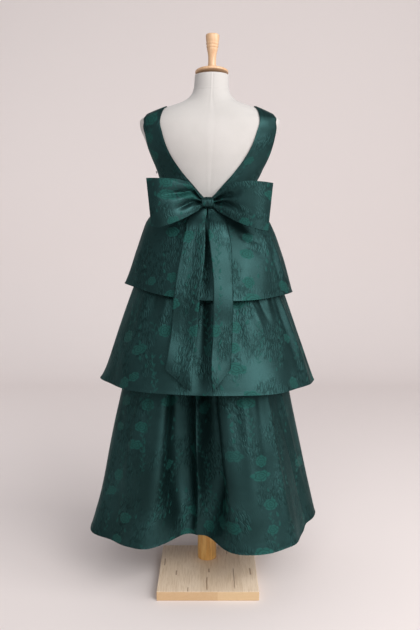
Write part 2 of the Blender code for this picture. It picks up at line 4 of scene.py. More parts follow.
import bpy
import numpy as np
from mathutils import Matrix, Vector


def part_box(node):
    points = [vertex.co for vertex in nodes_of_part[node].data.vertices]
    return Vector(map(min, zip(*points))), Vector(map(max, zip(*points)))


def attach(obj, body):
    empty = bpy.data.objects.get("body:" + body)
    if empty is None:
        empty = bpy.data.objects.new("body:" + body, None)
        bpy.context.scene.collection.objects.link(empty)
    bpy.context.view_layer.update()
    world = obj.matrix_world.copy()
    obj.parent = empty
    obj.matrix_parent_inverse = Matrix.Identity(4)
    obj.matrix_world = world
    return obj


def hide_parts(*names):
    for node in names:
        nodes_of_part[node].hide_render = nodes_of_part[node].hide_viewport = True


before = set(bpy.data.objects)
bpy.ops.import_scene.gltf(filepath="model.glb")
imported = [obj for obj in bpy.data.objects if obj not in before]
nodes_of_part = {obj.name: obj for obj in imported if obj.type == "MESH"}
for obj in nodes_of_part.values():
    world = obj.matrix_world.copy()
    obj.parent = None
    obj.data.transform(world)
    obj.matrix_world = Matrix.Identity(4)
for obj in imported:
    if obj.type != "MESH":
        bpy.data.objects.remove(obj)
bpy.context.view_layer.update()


# Studio: a pale paper sweep that is floor and wall in one. Three soft window lights stand to the right
# and above the camera, a weak one lights the wall low at the left, and an even light comes from all
# round. The camera stands behind the dress, a little lower than its waist, and looks slightly down.
SWEEP_PAPER = (0.81, 0.745, 0.73)
ROOM_LIGHT = (0.97, 0.96, 0.98)
ROOM_STRENGTH = 0.40
SWEEP_WIDTH = 9.0
SWEEP_DEPTH = 6.0
SWEEP_BACK = 3.3
SWEEP_BEND = 0.9
SWEEP_RISE = 3.2
CAMERA_PLACE = (0.009, -1.954, 0.997)
CAMERA_TILT = 83.1
FILM_WIDTH = 36.0
LENS = 38.857


def build_studio():
    bpy.ops.mesh.primitive_plane_add(size=1, location=(0, 0, 0))
    sweep = bpy.context.object
    sweep.name = "paper_sweep"
    sweep.scale = (SWEEP_WIDTH, SWEEP_DEPTH, 1)
    sweep.location = (0, SWEEP_BACK - SWEEP_BEND - SWEEP_DEPTH / 2, 0)
    bpy.ops.object.transform_apply(location=True, rotation=True, scale=True)
    bpy.ops.object.mode_set(mode="EDIT")
    bpy.ops.mesh.select_mode(type="EDGE")
    bpy.ops.mesh.select_all(action="DESELECT")
    bpy.ops.object.mode_set(mode="OBJECT")
    back = max(v.co.y for v in sweep.data.vertices)
    for edge in sweep.data.edges:
        ends = [sweep.data.vertices[i].co.y for i in edge.vertices]
        edge.select = min(ends) > back - 1e-4
    bpy.ops.object.mode_set(mode="EDIT")
    steps = 20
    for i in range(steps):
        before = math.radians(90 * i / steps)
        after = math.radians(90 * (i + 1) / steps)
        move = (0, SWEEP_BEND * (math.sin(after) - math.sin(before)),
                SWEEP_BEND * (math.cos(before) - math.cos(after)))
        bpy.ops.mesh.extrude_region_move(TRANSFORM_OT_translate={"value": move})
    bpy.ops.mesh.extrude_region_move(TRANSFORM_OT_translate={"value": (0, 0, SWEEP_RISE)})
    bpy.ops.object.mode_set(mode="OBJECT")
    bpy.ops.object.shade_smooth()
    paper = bpy.data.materials.new("sweep_paper")
    paper.use_nodes = True
    shader = paper.node_tree.nodes["Principled BSDF"]
    shader.inputs["Base Color"].default_value = (*SWEEP_PAPER, 1)
    shader.inputs["Roughness"].default_value = 0.9
    shader.inputs["Specular IOR Level"].default_value = 0.1
    sweep.data.materials.append(paper)


def add_window(name, place, target, size, power, colour):
    bpy.ops.object.light_add(type="AREA", location=place)
    window = bpy.context.object
    window.name = name
    window.data.shape = "RECTANGLE"
    window.data.size, window.data.size_y = size
    window.data.energy = power
    window.data.color = colour
    way = np.array(target, float) - np.array(place, float)
    window.rotation_euler = (
        math.atan2(math.hypot(way[0], way[1]), -way[2]),
        0,
        math.atan2(way[1], way[0]) - math.pi / 2,
    )


bpy.ops.object.select_all(action="DESELECT")
build_studio()
add_window("window_right", (2.2, -3.2, 2.8), (0, 0, 0.65), (2.4, 2.4), 120, (1.0, 0.985, 0.97))
add_window("window_front", (-0.3, -4.2, 3.4), (0, 0, 0.6), (3.0, 1.8), 60, (1.0, 0.99, 0.98))
add_window("window_side", (2.65, -1.2, 2.2), (0, 0, 0.8), (1.3, 1.8), 39, (1.0, 0.98, 0.97))
add_window("wall_light", (-1.8, 1.0, 1.7), (-1.1, 2.7, 0.0), (1.4, 1.4), 8, (0.98, 0.99, 1.0))
room = bpy.data.worlds.new("room")
room.use_nodes = True
room.node_tree.nodes["Background"].inputs["Color"].default_value = (*ROOM_LIGHT, 1)
room.node_tree.nodes["Background"].inputs["Strength"].default_value = ROOM_STRENGTH
bpy.context.scene.world = room
bpy.context.scene.view_settings.view_transform = "Standard"
bpy.ops.object.camera_add(location=CAMERA_PLACE, rotation=(math.radians(CAMERA_TILT), 0, 0))
camera = bpy.context.object
camera.data.sensor_width = FILM_WIDTH
camera.data.lens = LENS
bpy.context.scene.camera = camera


# Base board: pale pine strips glued edge to edge and sanded, with a few dark pitch streaks on top. Its
# saw-cut edges are yellower. Its top is painted paler than the pine, a painted light that lifts it out
# of the dress's shade. The board is the CAD solid with this finish.
# The top colour holds painted light: paler than the pine, to make up for the dress's shade over it.
PINE_TOP_WITH_PAINTED_LIGHT = (0.97, 0.80, 0.62)
PINE_WARM = (0.66, 0.47, 0.29)
PINE_EDGE = (0.55, 0.36, 0.19)
PINE_EDGE_PALE = (0.78, 0.60, 0.36)
PITCH = (0.31, 0.165, 0.085)
STRIPS_PER_METRE = 17.0
FIRST_STRIP = 0.137
EDGE_JOINT = 0.030
Streak = namedtuple("Streak", "x start end width")
STREAKS = (
    Streak(0.0765, -0.196, -0.066, 0.0022), Streak(0.0005, -0.202, -0.120, 0.0030),
    Streak(0.0060, -0.100, -0.075, 0.0034), Streak(-0.088, -0.115, -0.085, 0.0030),
    Streak(0.125, -0.115, -0.070, 0.0032), Streak(-0.125, -0.06, -0.01, 0.0026),
    Streak(-0.052, -0.205, -0.180, 0.0022), Streak(0.060, 0.01, 0.06, 0.0024),
)


def new_finish(name, roughness):
    finish = bpy.data.materials.new(name)
    finish.use_nodes = True
    shader = finish.node_tree.nodes["Principled BSDF"]
    shader.inputs["Roughness"].default_value = roughness
    return finish, finish.node_tree, shader


def add_node(tree, kind, settings=None, **sockets):
    """Adds a node. A socket is named with underscores, or in_ and its number, and its value is a number or
    another socket."""
    node = tree.nodes.new("ShaderNode" + kind)
    for key, value in (settings or {}).items():
        setattr(node, key, value)
    for key, value in sockets.items():
        place = int(key[3:]) if key.startswith("in_") else key.replace("_", " ")
        if isinstance(value, bpy.types.NodeSocket):
            tree.links.new(value, node.inputs[place])
        else:
            node.inputs[place].default_value = value
    return node


def math_of(tree, operation, first, second=0.0):
    return add_node(tree, "Math", {"operation": operation}, in_0=first, in_1=second).outputs[0]


def plus(tree, first, second):
    return math_of(tree, "ADD", first, second)


def minus(tree, first, second):
    return math_of(tree, "SUBTRACT", first, second)


def times(tree, first, second):
    return math_of(tree, "MULTIPLY", first, second)


def stretched(tree, source, scale):
    return add_node(tree, "Mapping", Vector=source, Scale=scale).outputs[0]


def noise_of(tree, source, scale, detail=2.0, roughness=0.5, distortion=0.0):
    node = add_node(tree, "TexNoise", Vector=source, Scale=scale, Detail=detail,
                    Roughness=roughness, Distortion=distortion)
    return node.outputs["Fac"]


def ramp_between(tree, source, low, high, start=0.0, end=1.0):
    node = add_node(tree, "MapRange", {"interpolation_type": "SMOOTHSTEP"}, in_0=source, in_1=low, in_2=high)
    node.inputs[3].default_value = start
    node.inputs[4].default_value = end
    return node.outputs[0]


def blend_colours(tree, share, first, second):
    """The first colour where the share is 0, the second where it is 1."""
    if not isinstance(first, bpy.types.NodeSocket):
        first = (*first, 1.0)
    if not isinstance(second, bpy.types.NodeSocket):
        second = (*second, 1.0)
    return add_node(tree, "Mix", {"data_type": "RGBA"}, in_0=share, in_6=first, in_7=second).outputs[2]


def dent_surface(tree, shader, height, depth):
    """Relief from a height that runs from 0 to 1, with its depth in metres."""
    node = add_node(tree, "Bump", Height=height, Strength=1.0, Distance=depth)
    tree.links.new(node.outputs[0], shader.inputs["Normal"])


def paint_pine_board():
    finish, tree, shader = new_finish("pine_board", 0.55)
    place = tree.nodes.new("ShaderNodeTexCoord")
    spot = place.outputs["Object"]
    split = add_node(tree, "SeparateXYZ", Vector=spot)
    x, y = split.outputs[0], split.outputs[1]
    facing = add_node(tree, "SeparateXYZ", Vector=place.outputs["Normal"])
    strip = math_of(tree, "FLOOR", times(tree, plus(tree, x, FIRST_STRIP), STRIPS_PER_METRE))
    strip_tone = add_node(tree, "TexWhiteNoise", {"noise_dimensions": "1D"}, W=strip).outputs["Value"]
    shifted = add_node(tree, "CombineXYZ", X=x, Y=plus(tree, y, strip_tone), Z=split.outputs[2]).outputs[0]
    grain = noise_of(tree, stretched(tree, shifted, (46, 3.2, 46)), 5.0, 5.0, 0.62, 0.9)
    fine = noise_of(tree, stretched(tree, shifted, (300, 9, 300)), 3.0, 3.0, 0.6)
    colour = blend_colours(tree, ramp_between(tree, grain, 0.42, 0.70, 0.0, 0.55), PINE_TOP_WITH_PAINTED_LIGHT, PINE_WARM)
    colour = blend_colours(tree, ramp_between(tree, fine, 0.35, 0.65, 0.0, 0.22), colour, PINE_WARM)
    colour = blend_colours(tree, times(tree, strip_tone, 0.22), colour, PINE_EDGE)
    sway = times(tree, minus(tree, noise_of(tree, spot, 22.0, 2.0), 0.5), 0.0045)
    for streak in STREAKS:
        across = math_of(tree, "ABSOLUTE", plus(tree, minus(tree, x, streak.x), sway))
        near = ramp_between(tree, across, streak.width * 0.3, streak.width, 1.0, 0.0)
        middle = (streak.start + streak.end) / 2
        reach = (streak.end - streak.start) / 2
        along = math_of(tree, "ABSOLUTE", minus(tree, y, middle))
        inside = ramp_between(tree, along, reach * 0.7, reach, 1.0, 0.0)
        colour = blend_colours(tree, times(tree, times(tree, near, inside), 0.75), colour, PITCH)
    edge_grain = noise_of(tree, stretched(tree, spot, (60, 60, 260)), 2.0, 4.0, 0.6, 1.5)
    edge = blend_colours(tree, ramp_between(tree, edge_grain, 0.3, 0.7, 0.0, 0.45), PINE_EDGE, PINE_WARM)
    block = ramp_between(tree, x, EDGE_JOINT - 0.0005, EDGE_JOINT + 0.0005, 0.0, 0.30)
    edge = blend_colours(tree, block, edge, PINE_EDGE_PALE)
    # Upward faces take the top colour, which is painted paler as a painted light against the dress's shade.
    upward = ramp_between(tree, facing.outputs[2], 0.4, 0.8)
    tree.links.new(blend_colours(tree, upward, edge, colour), shader.inputs["Base Color"])
    dent_surface(tree, shader, grain, 0.0004)
    return finish


board = nodes_of_part["base_board"]
board.data.materials.clear()
board.data.materials.append(paint_pine_board())


# Pole: a thick turned hardwood rod with a honey-coloured varnish, set upright on the board and running
# up into the form's body. Its grain runs upwards. Its colours are painted paler than the varnish, a
# painted light that lifts the pole out of the skirt's shade.
# Painted light: the middle and pale colours are lifted to make up for the skirt's shade on the pole.
HONEY_WITH_PAINTED_LIGHT = (0.74, 0.380, 0.100)
HONEY_PALE_WITH_PAINTED_LIGHT = (0.86, 0.530, 0.180)
HONEY_DARK = (0.30, 0.130, 0.035)
POLE_RADIUS = 0.028
POLE_ROUNDING = 0.0012


def paint_turned_wood(name, pale, middle, dark, roughness):
    finish, tree, shader = new_finish(name, roughness)
    spot = tree.nodes.new("ShaderNodeTexCoord").outputs["Object"]
    bands = noise_of(tree, stretched(tree, spot, (60, 60, 4.5)), 2.2, 4.0, 0.6, 0.8)
    pores = noise_of(tree, stretched(tree, spot, (420, 420, 16)), 2.0, 2.0, 0.6)
    colour = blend_colours(tree, ramp_between(tree, bands, 0.35, 0.65), pale, middle)
    colour = blend_colours(tree, ramp_between(tree, pores, 0.52, 0.72, 0.0, 0.5), colour, dark)
    tree.links.new(colour, shader.inputs["Base Color"])
    shader.inputs["Coat Weight"].default_value = 0.25
    shader.inputs["Coat Roughness"].default_value = 0.25
    dent_surface(tree, shader, pores, 0.00015)
    return finish


def select_faces(piece, chosen):
    """In edit mode, selects the faces whose middle and normal pass a test."""
    bpy.ops.object.mode_set(mode="EDIT")
    bpy.ops.mesh.select_mode(type="FACE")
    bpy.ops.mesh.select_all(action="DESELECT")
    bpy.ops.object.mode_set(mode="OBJECT")
    for face in piece.data.polygons:
        face.select = chosen(face.center, face.normal)
    bpy.ops.object.mode_set(mode="EDIT")


def settle(angle):
    """Leaves the active piece at the origin, its place in its mesh, smooth but for edges over the angle."""
    bpy.ops.object.mode_set(mode="OBJECT")
    bpy.ops.object.transform_apply(location=True, rotation=True, scale=True)
    bpy.ops.object.shade_smooth_by_angle(angle=math.radians(angle))


low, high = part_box("pole")
bpy.ops.object.select_all(action="DESELECT")
bpy.ops.mesh.primitive_cylinder_add(
    vertices=96, radius=POLE_RADIUS, depth=high.z - low.z, location=(0, 0, (low.z + high.z) / 2)
)
pole = bpy.context.object
pole.name = "round_pole"
select_faces(pole, lambda middle, normal: abs(normal.z) > 0.9)
bpy.ops.mesh.bevel(offset=POLE_ROUNDING, segments=3, affect="EDGES")
settle(40)
pole.data.materials.append(paint_turned_wood("honey_pole", HONEY_PALE_WITH_PAINTED_LIGHT, HONEY_WITH_PAINTED_LIGHT, HONEY_DARK, 0.42))
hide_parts("pole")
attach(pole, "root")


# Neck cap and finial: pale beech turned on a lathe, under a clear varnish. The cap is a thin domed disc
# that closes the neck and sits a little tilted. The finial is a slim handle with three rings that widens
# to a flat head.
BEECH = (0.60, 0.36, 0.195)
BEECH_PALE = (0.70, 0.46, 0.275)
BEECH_DARK = (0.40, 0.205, 0.09)
CAP_TILT = -6.0
CAP_LIFT = 0.0046
FINIAL_ASIDE = 0.0144
FINIAL_LIFT = 0.0003
FINIAL_LEAN = 1.2
CAP_PROFILE = (
    (0.0440, 0.0000), (0.0452, 0.0004), (0.0460, 0.0014), (0.0460, 0.0050), (0.0455, 0.0058),
    (0.0440, 0.0070), (0.0405, 0.0084), (0.0340, 0.0097), (0.0240, 0.0106), (0.0140, 0.0110),
)
FINIAL_PROFILE = (
    (0.0132, 0.0000), (0.0140, 0.0004), (0.0138, 0.0016), (0.0131, 0.0030), (0.0122, 0.0060),
    (0.0114, 0.0110), (0.0109, 0.0170), (0.0108, 0.0240), (0.0112, 0.0320), (0.0119, 0.0380),
    (0.0127, 0.0430), (0.0140, 0.0480), (0.0149, 0.0508), (0.0151, 0.0530), (0.0145, 0.0548),
    (0.0152, 0.0556), (0.0163, 0.0572), (0.0167, 0.0592), (0.0165, 0.0612), (0.0158, 0.0626),
    (0.0156, 0.0634), (0.0166, 0.0644), (0.0175, 0.0660), (0.0176, 0.0676), (0.0169, 0.0688),
    (0.0167, 0.0694), (0.0172, 0.0712), (0.0178, 0.0745), (0.0183, 0.0785), (0.0187, 0.0830),
    (0.0189, 0.0868), (0.0188, 0.0888), (0.0181, 0.0906), (0.0166, 0.0919), (0.0140, 0.0926),
    (0.0090, 0.0930),
)


def turn_on_lathe(name, profile, finish):
    """Starts as a disc and grows up the profile, each step drawn up and then widened or narrowed."""
    bpy.ops.object.select_all(action="DESELECT")
    bpy.ops.mesh.primitive_circle_add(vertices=72, radius=profile[0][0], fill_type="NGON", location=(0, 0, 0))
    piece = bpy.context.object
    piece.name = name
    bpy.ops.object.mode_set(mode="EDIT")
    bpy.ops.mesh.select_all(action="SELECT")
    for (radius, height), (next_radius, next_height) in zip(profile, profile[1:]):
        bpy.ops.mesh.extrude_region_move(TRANSFORM_OT_translate={"value": (0, 0, next_height - height)})
        grow = next_radius / radius
        bpy.ops.transform.resize(value=(grow, grow, 1), center_override=(0, 0, next_height))
    bpy.ops.mesh.select_all(action="SELECT")
    bpy.ops.mesh.normals_make_consistent(inside=False)
    bpy.ops.object.mode_set(mode="OBJECT")
    piece.data.materials.append(finish)
    return piece


beech = paint_turned_wood("varnished_beech", BEECH_PALE, BEECH, BEECH_DARK, 0.45)
low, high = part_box("neck_cap")
cap = turn_on_lathe("domed_cap", CAP_PROFILE, beech)
cap.location = ((low.x + high.x) / 2, 0.0, low.z + CAP_LIFT)
cap.rotation_euler = (math.radians(CAP_TILT), 0, 0)
settle(50)
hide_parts("neck_cap")
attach(cap, "root")
low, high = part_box("finial")
finial = turn_on_lathe("turned_finial", FINIAL_PROFILE, beech)
finial.location = (FINIAL_ASIDE, 0.0, low.z + FINIAL_LIFT)
finial.rotation_euler = (0, math.radians(FINIAL_LEAN), 0)
settle(60)
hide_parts("finial")
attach(finial, "root")


# Form: a moulded foam body covered in off-white cotton. The cover is sewn at the sides, the centre
# back and front, and round the foot of the neck, and each seam shows as a fine raised line.
COTTON = (0.535, 0.512, 0.495)
COTTON_SHADE = (0.490, 0.470, 0.452)
COTTON_KNIT = (0.53, 0.505, 0.48)
Lean = namedtuple("Lean", "height aside")
LEAN = (Lean(0.00, 0.0), Lean(0.60, 0.0005), Lean(1.09, 0.0030), Lean(1.32, 0.0095),
        Lean(1.40, 0.0130), Lean(1.54, 0.0165))
Ring = namedtuple("Ring", "height half_width front back square")
FORM_RINGS = (
    Ring(0.698, 0.126, 0.084, 0.090, 2.1),
    Ring(0.706, 0.140, 0.095, 0.101, 2.1),
    Ring(0.780, 0.160, 0.108, 0.118, 2.1),
    Ring(0.860, 0.163, 0.110, 0.120, 2.1),
    Ring(0.940, 0.143, 0.100, 0.102, 2.0),
    Ring(1.010, 0.121, 0.090, 0.084, 2.0),
    Ring(1.050, 0.1155, 0.088, 0.079, 2.0),
    Ring(1.085, 0.1165, 0.090, 0.080, 2.0),
    Ring(1.130, 0.128, 0.104, 0.084, 2.1),
    Ring(1.175, 0.1440, 0.118, 0.090, 2.2),
    Ring(1.220, 0.1650, 0.119, 0.095, 2.3),
    Ring(1.260, 0.1820, 0.104, 0.096, 2.3),
    Ring(1.290, 0.1945, 0.087, 0.091, 2.3),
    Ring(1.306, 0.1955, 0.078, 0.086, 2.2),
    Ring(1.320, 0.1770, 0.070, 0.080, 2.1),
    Ring(1.332, 0.1500, 0.064, 0.074, 2.1),
    Ring(1.344, 0.1200, 0.059, 0.068, 2.0),
    Ring(1.356, 0.084, 0.055, 0.063, 2.0),
    Ring(1.372, 0.060, 0.051, 0.058, 2.0),
    Ring(1.390, 0.050, 0.0475, 0.052, 2.0),
    Ring(1.410, 0.0475, 0.0465, 0.049, 2.0),
    Ring(1.430, 0.0470, 0.0465, 0.0475, 2.0),
)
COVER_SEAMS = (0.0, 90.0, 180.0, 270.0)
NECK_SEAM_HEIGHT = 1.392
SHOULDER_FROM = 1.295
SHOULDER_TO = 1.352


def bell(away, width):
    """1 on a line, fading softly to 0 at about twice the width from it."""
    return np.exp(-((away / width) ** 2))


def read_curve(table, column, key, where):
    """Values of a column at places in the table, on the smooth curve through its rows."""
    places = np.array([getattr(row, key) for row in table], float)
    values = np.array([getattr(row, column) for row in table], float)
    if places[0] > places[-1]:
        places, values = places[::-1], values[::-1]
    slopes = np.gradient(values, places)
    for i, step in enumerate(np.diff(values) / np.diff(places)):
        limit = 3.0 * abs(step)
        slopes[i] = np.clip(slopes[i], -limit, limit)
        slopes[i + 1] = np.clip(slopes[i + 1], -limit, limit)
    where = np.asarray(where, float)
    i = np.clip(np.searchsorted(places, where, side="right") - 1, 0, len(places) - 2)
    width = places[i + 1] - places[i]
    t = np.clip((where - places[i]) / width, 0.0, 1.0)
    start = values[i] * (2 * t**3 - 3 * t**2 + 1) + slopes[i] * width * (t**3 - 2 * t**2 + t)
    end = values[i + 1] * (3 * t**2 - 2 * t**3) + slopes[i + 1] * width * (t**3 - t**2)
    beyond = np.minimum(where - places[0], 0) * slopes[0] + np.maximum(where - places[-1], 0) * slopes[-1]
    return start + end + beyond


def oval(turn, half_width, front, back, square):
    side = np.cos(np.radians(turn))
    way = np.sin(np.radians(turn))
    depth = np.where(way > 0, front, back)
    x = np.sign(side) * np.abs(side) ** (2 / square) * half_width
    y = np.sign(way) * np.abs(way) ** (2 / square) * depth
    return x, y


def form_skin(turn, height):
    turn, height = np.broadcast_arrays(np.asarray(turn, float), np.asarray(height, float))
    sizes = [read_curve(FORM_RINGS, column, "height", height) for column in Ring._fields[1:]]
    x, y = oval(turn, *sizes)
    return np.stack([x + read_curve(LEAN, "aside", "height", height), y, height], -1)


def off_the_form(turn, height, off):
    """Points that stand straight off the form's skin."""
    round_way = form_skin(turn + 1.0, height) - form_skin(turn - 1.0, height)
    up_way = form_skin(turn, height + 0.001) - form_skin(turn, height - 0.001)
    outward = np.cross(round_way, up_way)
    outward /= np.linalg.norm(outward, axis=-1, keepdims=True)
    return form_skin(turn, height) + np.asarray(off, float)[..., None] * outward


def turn_gap(turn, other):
    return (turn - other + 180) % 360 - 180


def mesh_piece(name, points, faces, finish):
    mesh = bpy.data.meshes.new(name)
    mesh.from_pydata(points.reshape(-1, 3).tolist(), [], faces)
    piece = bpy.data.objects.new(name, mesh)
    bpy.context.scene.collection.objects.link(piece)
    mesh.materials.append(finish)
    bpy.ops.object.select_all(action="DESELECT")
    piece.select_set(True)
    bpy.context.view_layer.objects.active = piece
    return piece


def paint_cotton_cover():
    finish, tree, shader = new_finish("cotton_cover", 0.85)
    spot = tree.nodes.new("ShaderNodeTexCoord").outputs["Object"]
    cloud = noise_of(tree, spot, 9.0, 3.0, 0.55)
    knit = noise_of(tree, stretched(tree, spot, (1, 1, 0.6)), 900.0, 1.0)
    colour = blend_colours(tree, ramp_between(tree, cloud, 0.3, 0.7), COTTON, COTTON_SHADE)
    colour = blend_colours(tree, ramp_between(tree, knit, 0.3, 0.7, 0.0, 0.25), colour, COTTON_KNIT)
    tree.links.new(colour, shader.inputs["Base Color"])
    shader.inputs["Sheen Weight"].default_value = 0.25
    shader.inputs["Sheen Roughness"].default_value = 0.5
    dent_surface(tree, shader, knit, 0.00025)
    return finish


def build_form():
    columns = 220
    turns = np.arange(columns) * 360.0 / columns
    below = np.linspace(FORM_RINGS[0].height, SHOULDER_FROM, 185, endpoint=False)
    shoulders = np.linspace(SHOULDER_FROM, SHOULDER_TO, 75, endpoint=False)
    neck = np.linspace(SHOULDER_TO, FORM_RINGS[-1].height, 40)
    heights = np.concatenate([below, shoulders, neck])
    rows = len(heights)
    turn, height = np.meshgrid(turns, heights)
    skin = form_skin(turn, height)
    radius = np.hypot(skin[..., 0] - read_curve(LEAN, "aside", "height", height), skin[..., 1])
    raised = np.zeros_like(turn)
    for seam in COVER_SEAMS:
        away = np.radians(turn_gap(turn, seam)) * radius
        raised += 0.0007 * bell(away, 0.0016) - 0.0006 * bell(away - 0.0035, 0.0016)
    tilt = 0.004 * np.sin(np.radians(turn))
    away = height - NECK_SEAM_HEIGHT - tilt
    raised += 0.0006 * bell(away, 0.0012) - 0.0005 * bell(away + 0.003, 0.0014)
    raised *= np.clip((FORM_RINGS[-1].height - height) / 0.004, 0, 1)
    points = off_the_form(turn, height, raised - 0.0004)
    faces = []
    for row in range(rows - 1):
        for column in range(columns):
            here = row * columns + column
            after = row * columns + (column + 1) % columns
            faces.append((here, after, after + columns, here + columns))
    faces.append(tuple(range(columns))[::-1])
    faces.append(tuple((rows - 1) * columns + column for column in range(columns)))
    form = mesh_piece("covered_form", points, faces, paint_cotton_cover())
    settle(50)
    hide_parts("form_torso")
    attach(form, "root")


build_form()


# Bodice: cut in dark green jacquard, a satin ground with matt teal blooms, leaf sprays and crinkled
# matelasse patches, whose stitched creases are painted darker as shade and whose puffs paler, partly as
# a painted highlight. Two half backs and one high round front, sewn at the sides and shoulders; neck
# and armholes are turned in on a facing, so their edges are soft and even.
GROUND_DEEP = (0.0145, 0.0390, 0.0385)
GROUND_LIGHT = (0.0225, 0.0600, 0.0600)
# Dark of the blooms' petal lines, and painted shade in the matelasse's stitched creases.
FIGURE_LINES_AND_CRINKLE_SHADE = (0.0040, 0.0140, 0.0135)
CRINKLE_CREST_AND_HIGHLIGHT = (0.0200, 0.0720, 0.0690)
BLOOM = (0.0060, 0.0980, 0.0800)
LEAF = (0.0070, 0.0800, 0.0680)
BLOOMS_PER_METRE = 15.5
BUDS_PER_METRE = 44.0
STEM_GAP = 0.071
LEAF_STEP = 0.0105
LEAF_OUT = 0.0048
LEAF_HALF_WIDTH = 0.0024
LEAF_HALF_LENGTH = 0.0056
CRINKLES_PER_METRE = 150.0
THREAD_SCALE = 420.0


def larger(tree, first, second):
    return math_of(tree, "MAXIMUM", first, second)


def inside_of(tree, distance, edge, softness):
    """1 where a distance is under the edge, 0 beyond it."""
    return ramp_between(tree, minus(tree, distance, edge), -softness, softness, 1.0, 0.0)


def line_at(tree, distance, place, half_width):
    away = math_of(tree, "ABSOLUTE", minus(tree, distance, place))
    return ramp_between(tree, away, half_width * 0.4, half_width, 1.0, 0.0)


def lobes_of(tree, turn, count, shift):
    """Rounded lobes round a middle: 1 on a lobe's tip, 0 in the notch between two."""
    angle = plus(tree, times(tree, turn, count / 2), shift)
    return math_of(tree, "ABSOLUTE", math_of(tree, "COSINE", angle))


def patches_of(tree, source, scale, low, high, detail=0.0):
    node = add_node(tree, "TexNoise", {"noise_dimensions": "2D"}, Vector=source, Scale=scale, Detail=detail)
    return ramp_between(tree, node.outputs["Fac"], low, high)


def shaken(tree, flat, scale, reach):
    """The flat cut with its lines pulled about a little, as a woven figure never runs quite true."""
    pull = add_node(tree, "TexNoise", {"noise_dimensions": "2D"}, Vector=flat, Scale=scale, Detail=1.0)
    even = (0.5, 0.5, 0.5)
    pull = add_node(tree, "VectorMath", {"operation": "SUBTRACT"}, in_0=pull.outputs["Color"], in_1=even)
    pull = add_node(tree, "VectorMath", {"operation": "SCALE"}, in_0=pull.outputs[0], Scale=reach)
    return add_node(tree, "VectorMath", {"operation": "ADD"}, in_0=flat, in_1=pull.outputs[0]).outputs[0]


def motif_cells(tree, flat, scale, randomness):
    """Cells with one motif each: the arm from the motif's middle, its length, its middle and its chance."""
    spots = add_node(tree, "TexVoronoi", {"voronoi_dimensions": "2D", "feature": "F1"},
                     Vector=flat, Scale=scale, Randomness=randomness)
    middle = spots.outputs["Position"]
    arm = add_node(tree, "VectorMath", {"operation": "SUBTRACT"}, in_0=flat, in_1=middle).outputs[0]
    arm = add_node(tree, "VectorMath", {"operation": "SCALE"}, in_0=arm, Scale=scale)
    arm = add_node(tree, "SeparateXYZ", Vector=arm.outputs[0])
    chance = add_node(tree, "SeparateXYZ", Vector=spots.outputs["Color"])
    return arm.outputs[0], arm.outputs[1], middle, chance.outputs[0], chance.outputs[1]


def length_of(tree, x, y):
    squares = plus(tree, math_of(tree, "POWER", x, 2.0), math_of(tree, "POWER", y, 2.0))
    return math_of(tree, "SQRT", squares)


def weave_blooms(tree, flat):
    """Rose-like blooms 3 to 5 cm across in loose groups, round or twice as wide, with rings of petals."""
    place = shaken(tree, flat, 55.0, 0.006)
    x, y, middle, chance, wide = motif_cells(tree, place, BLOOMS_PER_METRE, 0.50)
    wide = plus(tree, 0.95, times(tree, math_of(tree, "POWER", wide, 2.0), 0.75))
    x = math_of(tree, "DIVIDE", x, wide)
    turn = plus(tree, math_of(tree, "ARCTAN2", y, x), times(tree, chance, 6.28))
    reach = length_of(tree, x, times(tree, y, 1.12))
    outer = lobes_of(tree, turn, 6, 0.0)
    inner = lobes_of(tree, turn, 5, 1.57)
    size = plus(tree, 0.78, times(tree, chance, 0.30))
    reach = math_of(tree, "DIVIDE", reach, size)
    rim = plus(tree, 0.245, times(tree, outer, 0.040))
    ring = plus(tree, 0.150, times(tree, inner, 0.035))
    chosen = patches_of(tree, middle, 7.5, 0.555, 0.565)
    bloom = times(tree, inside_of(tree, reach, rim, 0.030), chosen)
    notch = ramp_between(tree, outer, 0.10, 0.32, 1.0, 0.0)
    parting = times(tree, notch, ramp_between(tree, minus(tree, reach, ring), 0.0, 0.02))
    lines = larger(tree, line_at(tree, reach, ring, 0.026), line_at(tree, reach, 0.07, 0.022))
    lines = times(tree, larger(tree, lines, parting), bloom)
    return bloom, lines


def weave_buds(tree, flat):
    """Small drop-shaped buds, 1 cm long, one above the other in short chains."""
    place = shaken(tree, flat, 40.0, 0.004)
    x, y, middle, chance, lean = motif_cells(tree, place, BUDS_PER_METRE, 0.35)
    x = plus(tree, x, times(tree, y, minus(tree, lean, 0.5)))
    taper = plus(tree, 1.9, times(tree, y, 2.6))
    reach = length_of(tree, times(tree, x, taper), y)
    chosen = patches_of(tree, stretched(tree, middle, (1.0, 0.30, 1.0)), 26.0, 0.665, 0.675)
    size = plus(tree, 0.20, times(tree, chance, 0.12))
    return times(tree, inside_of(tree, reach, size, 0.05), chosen)


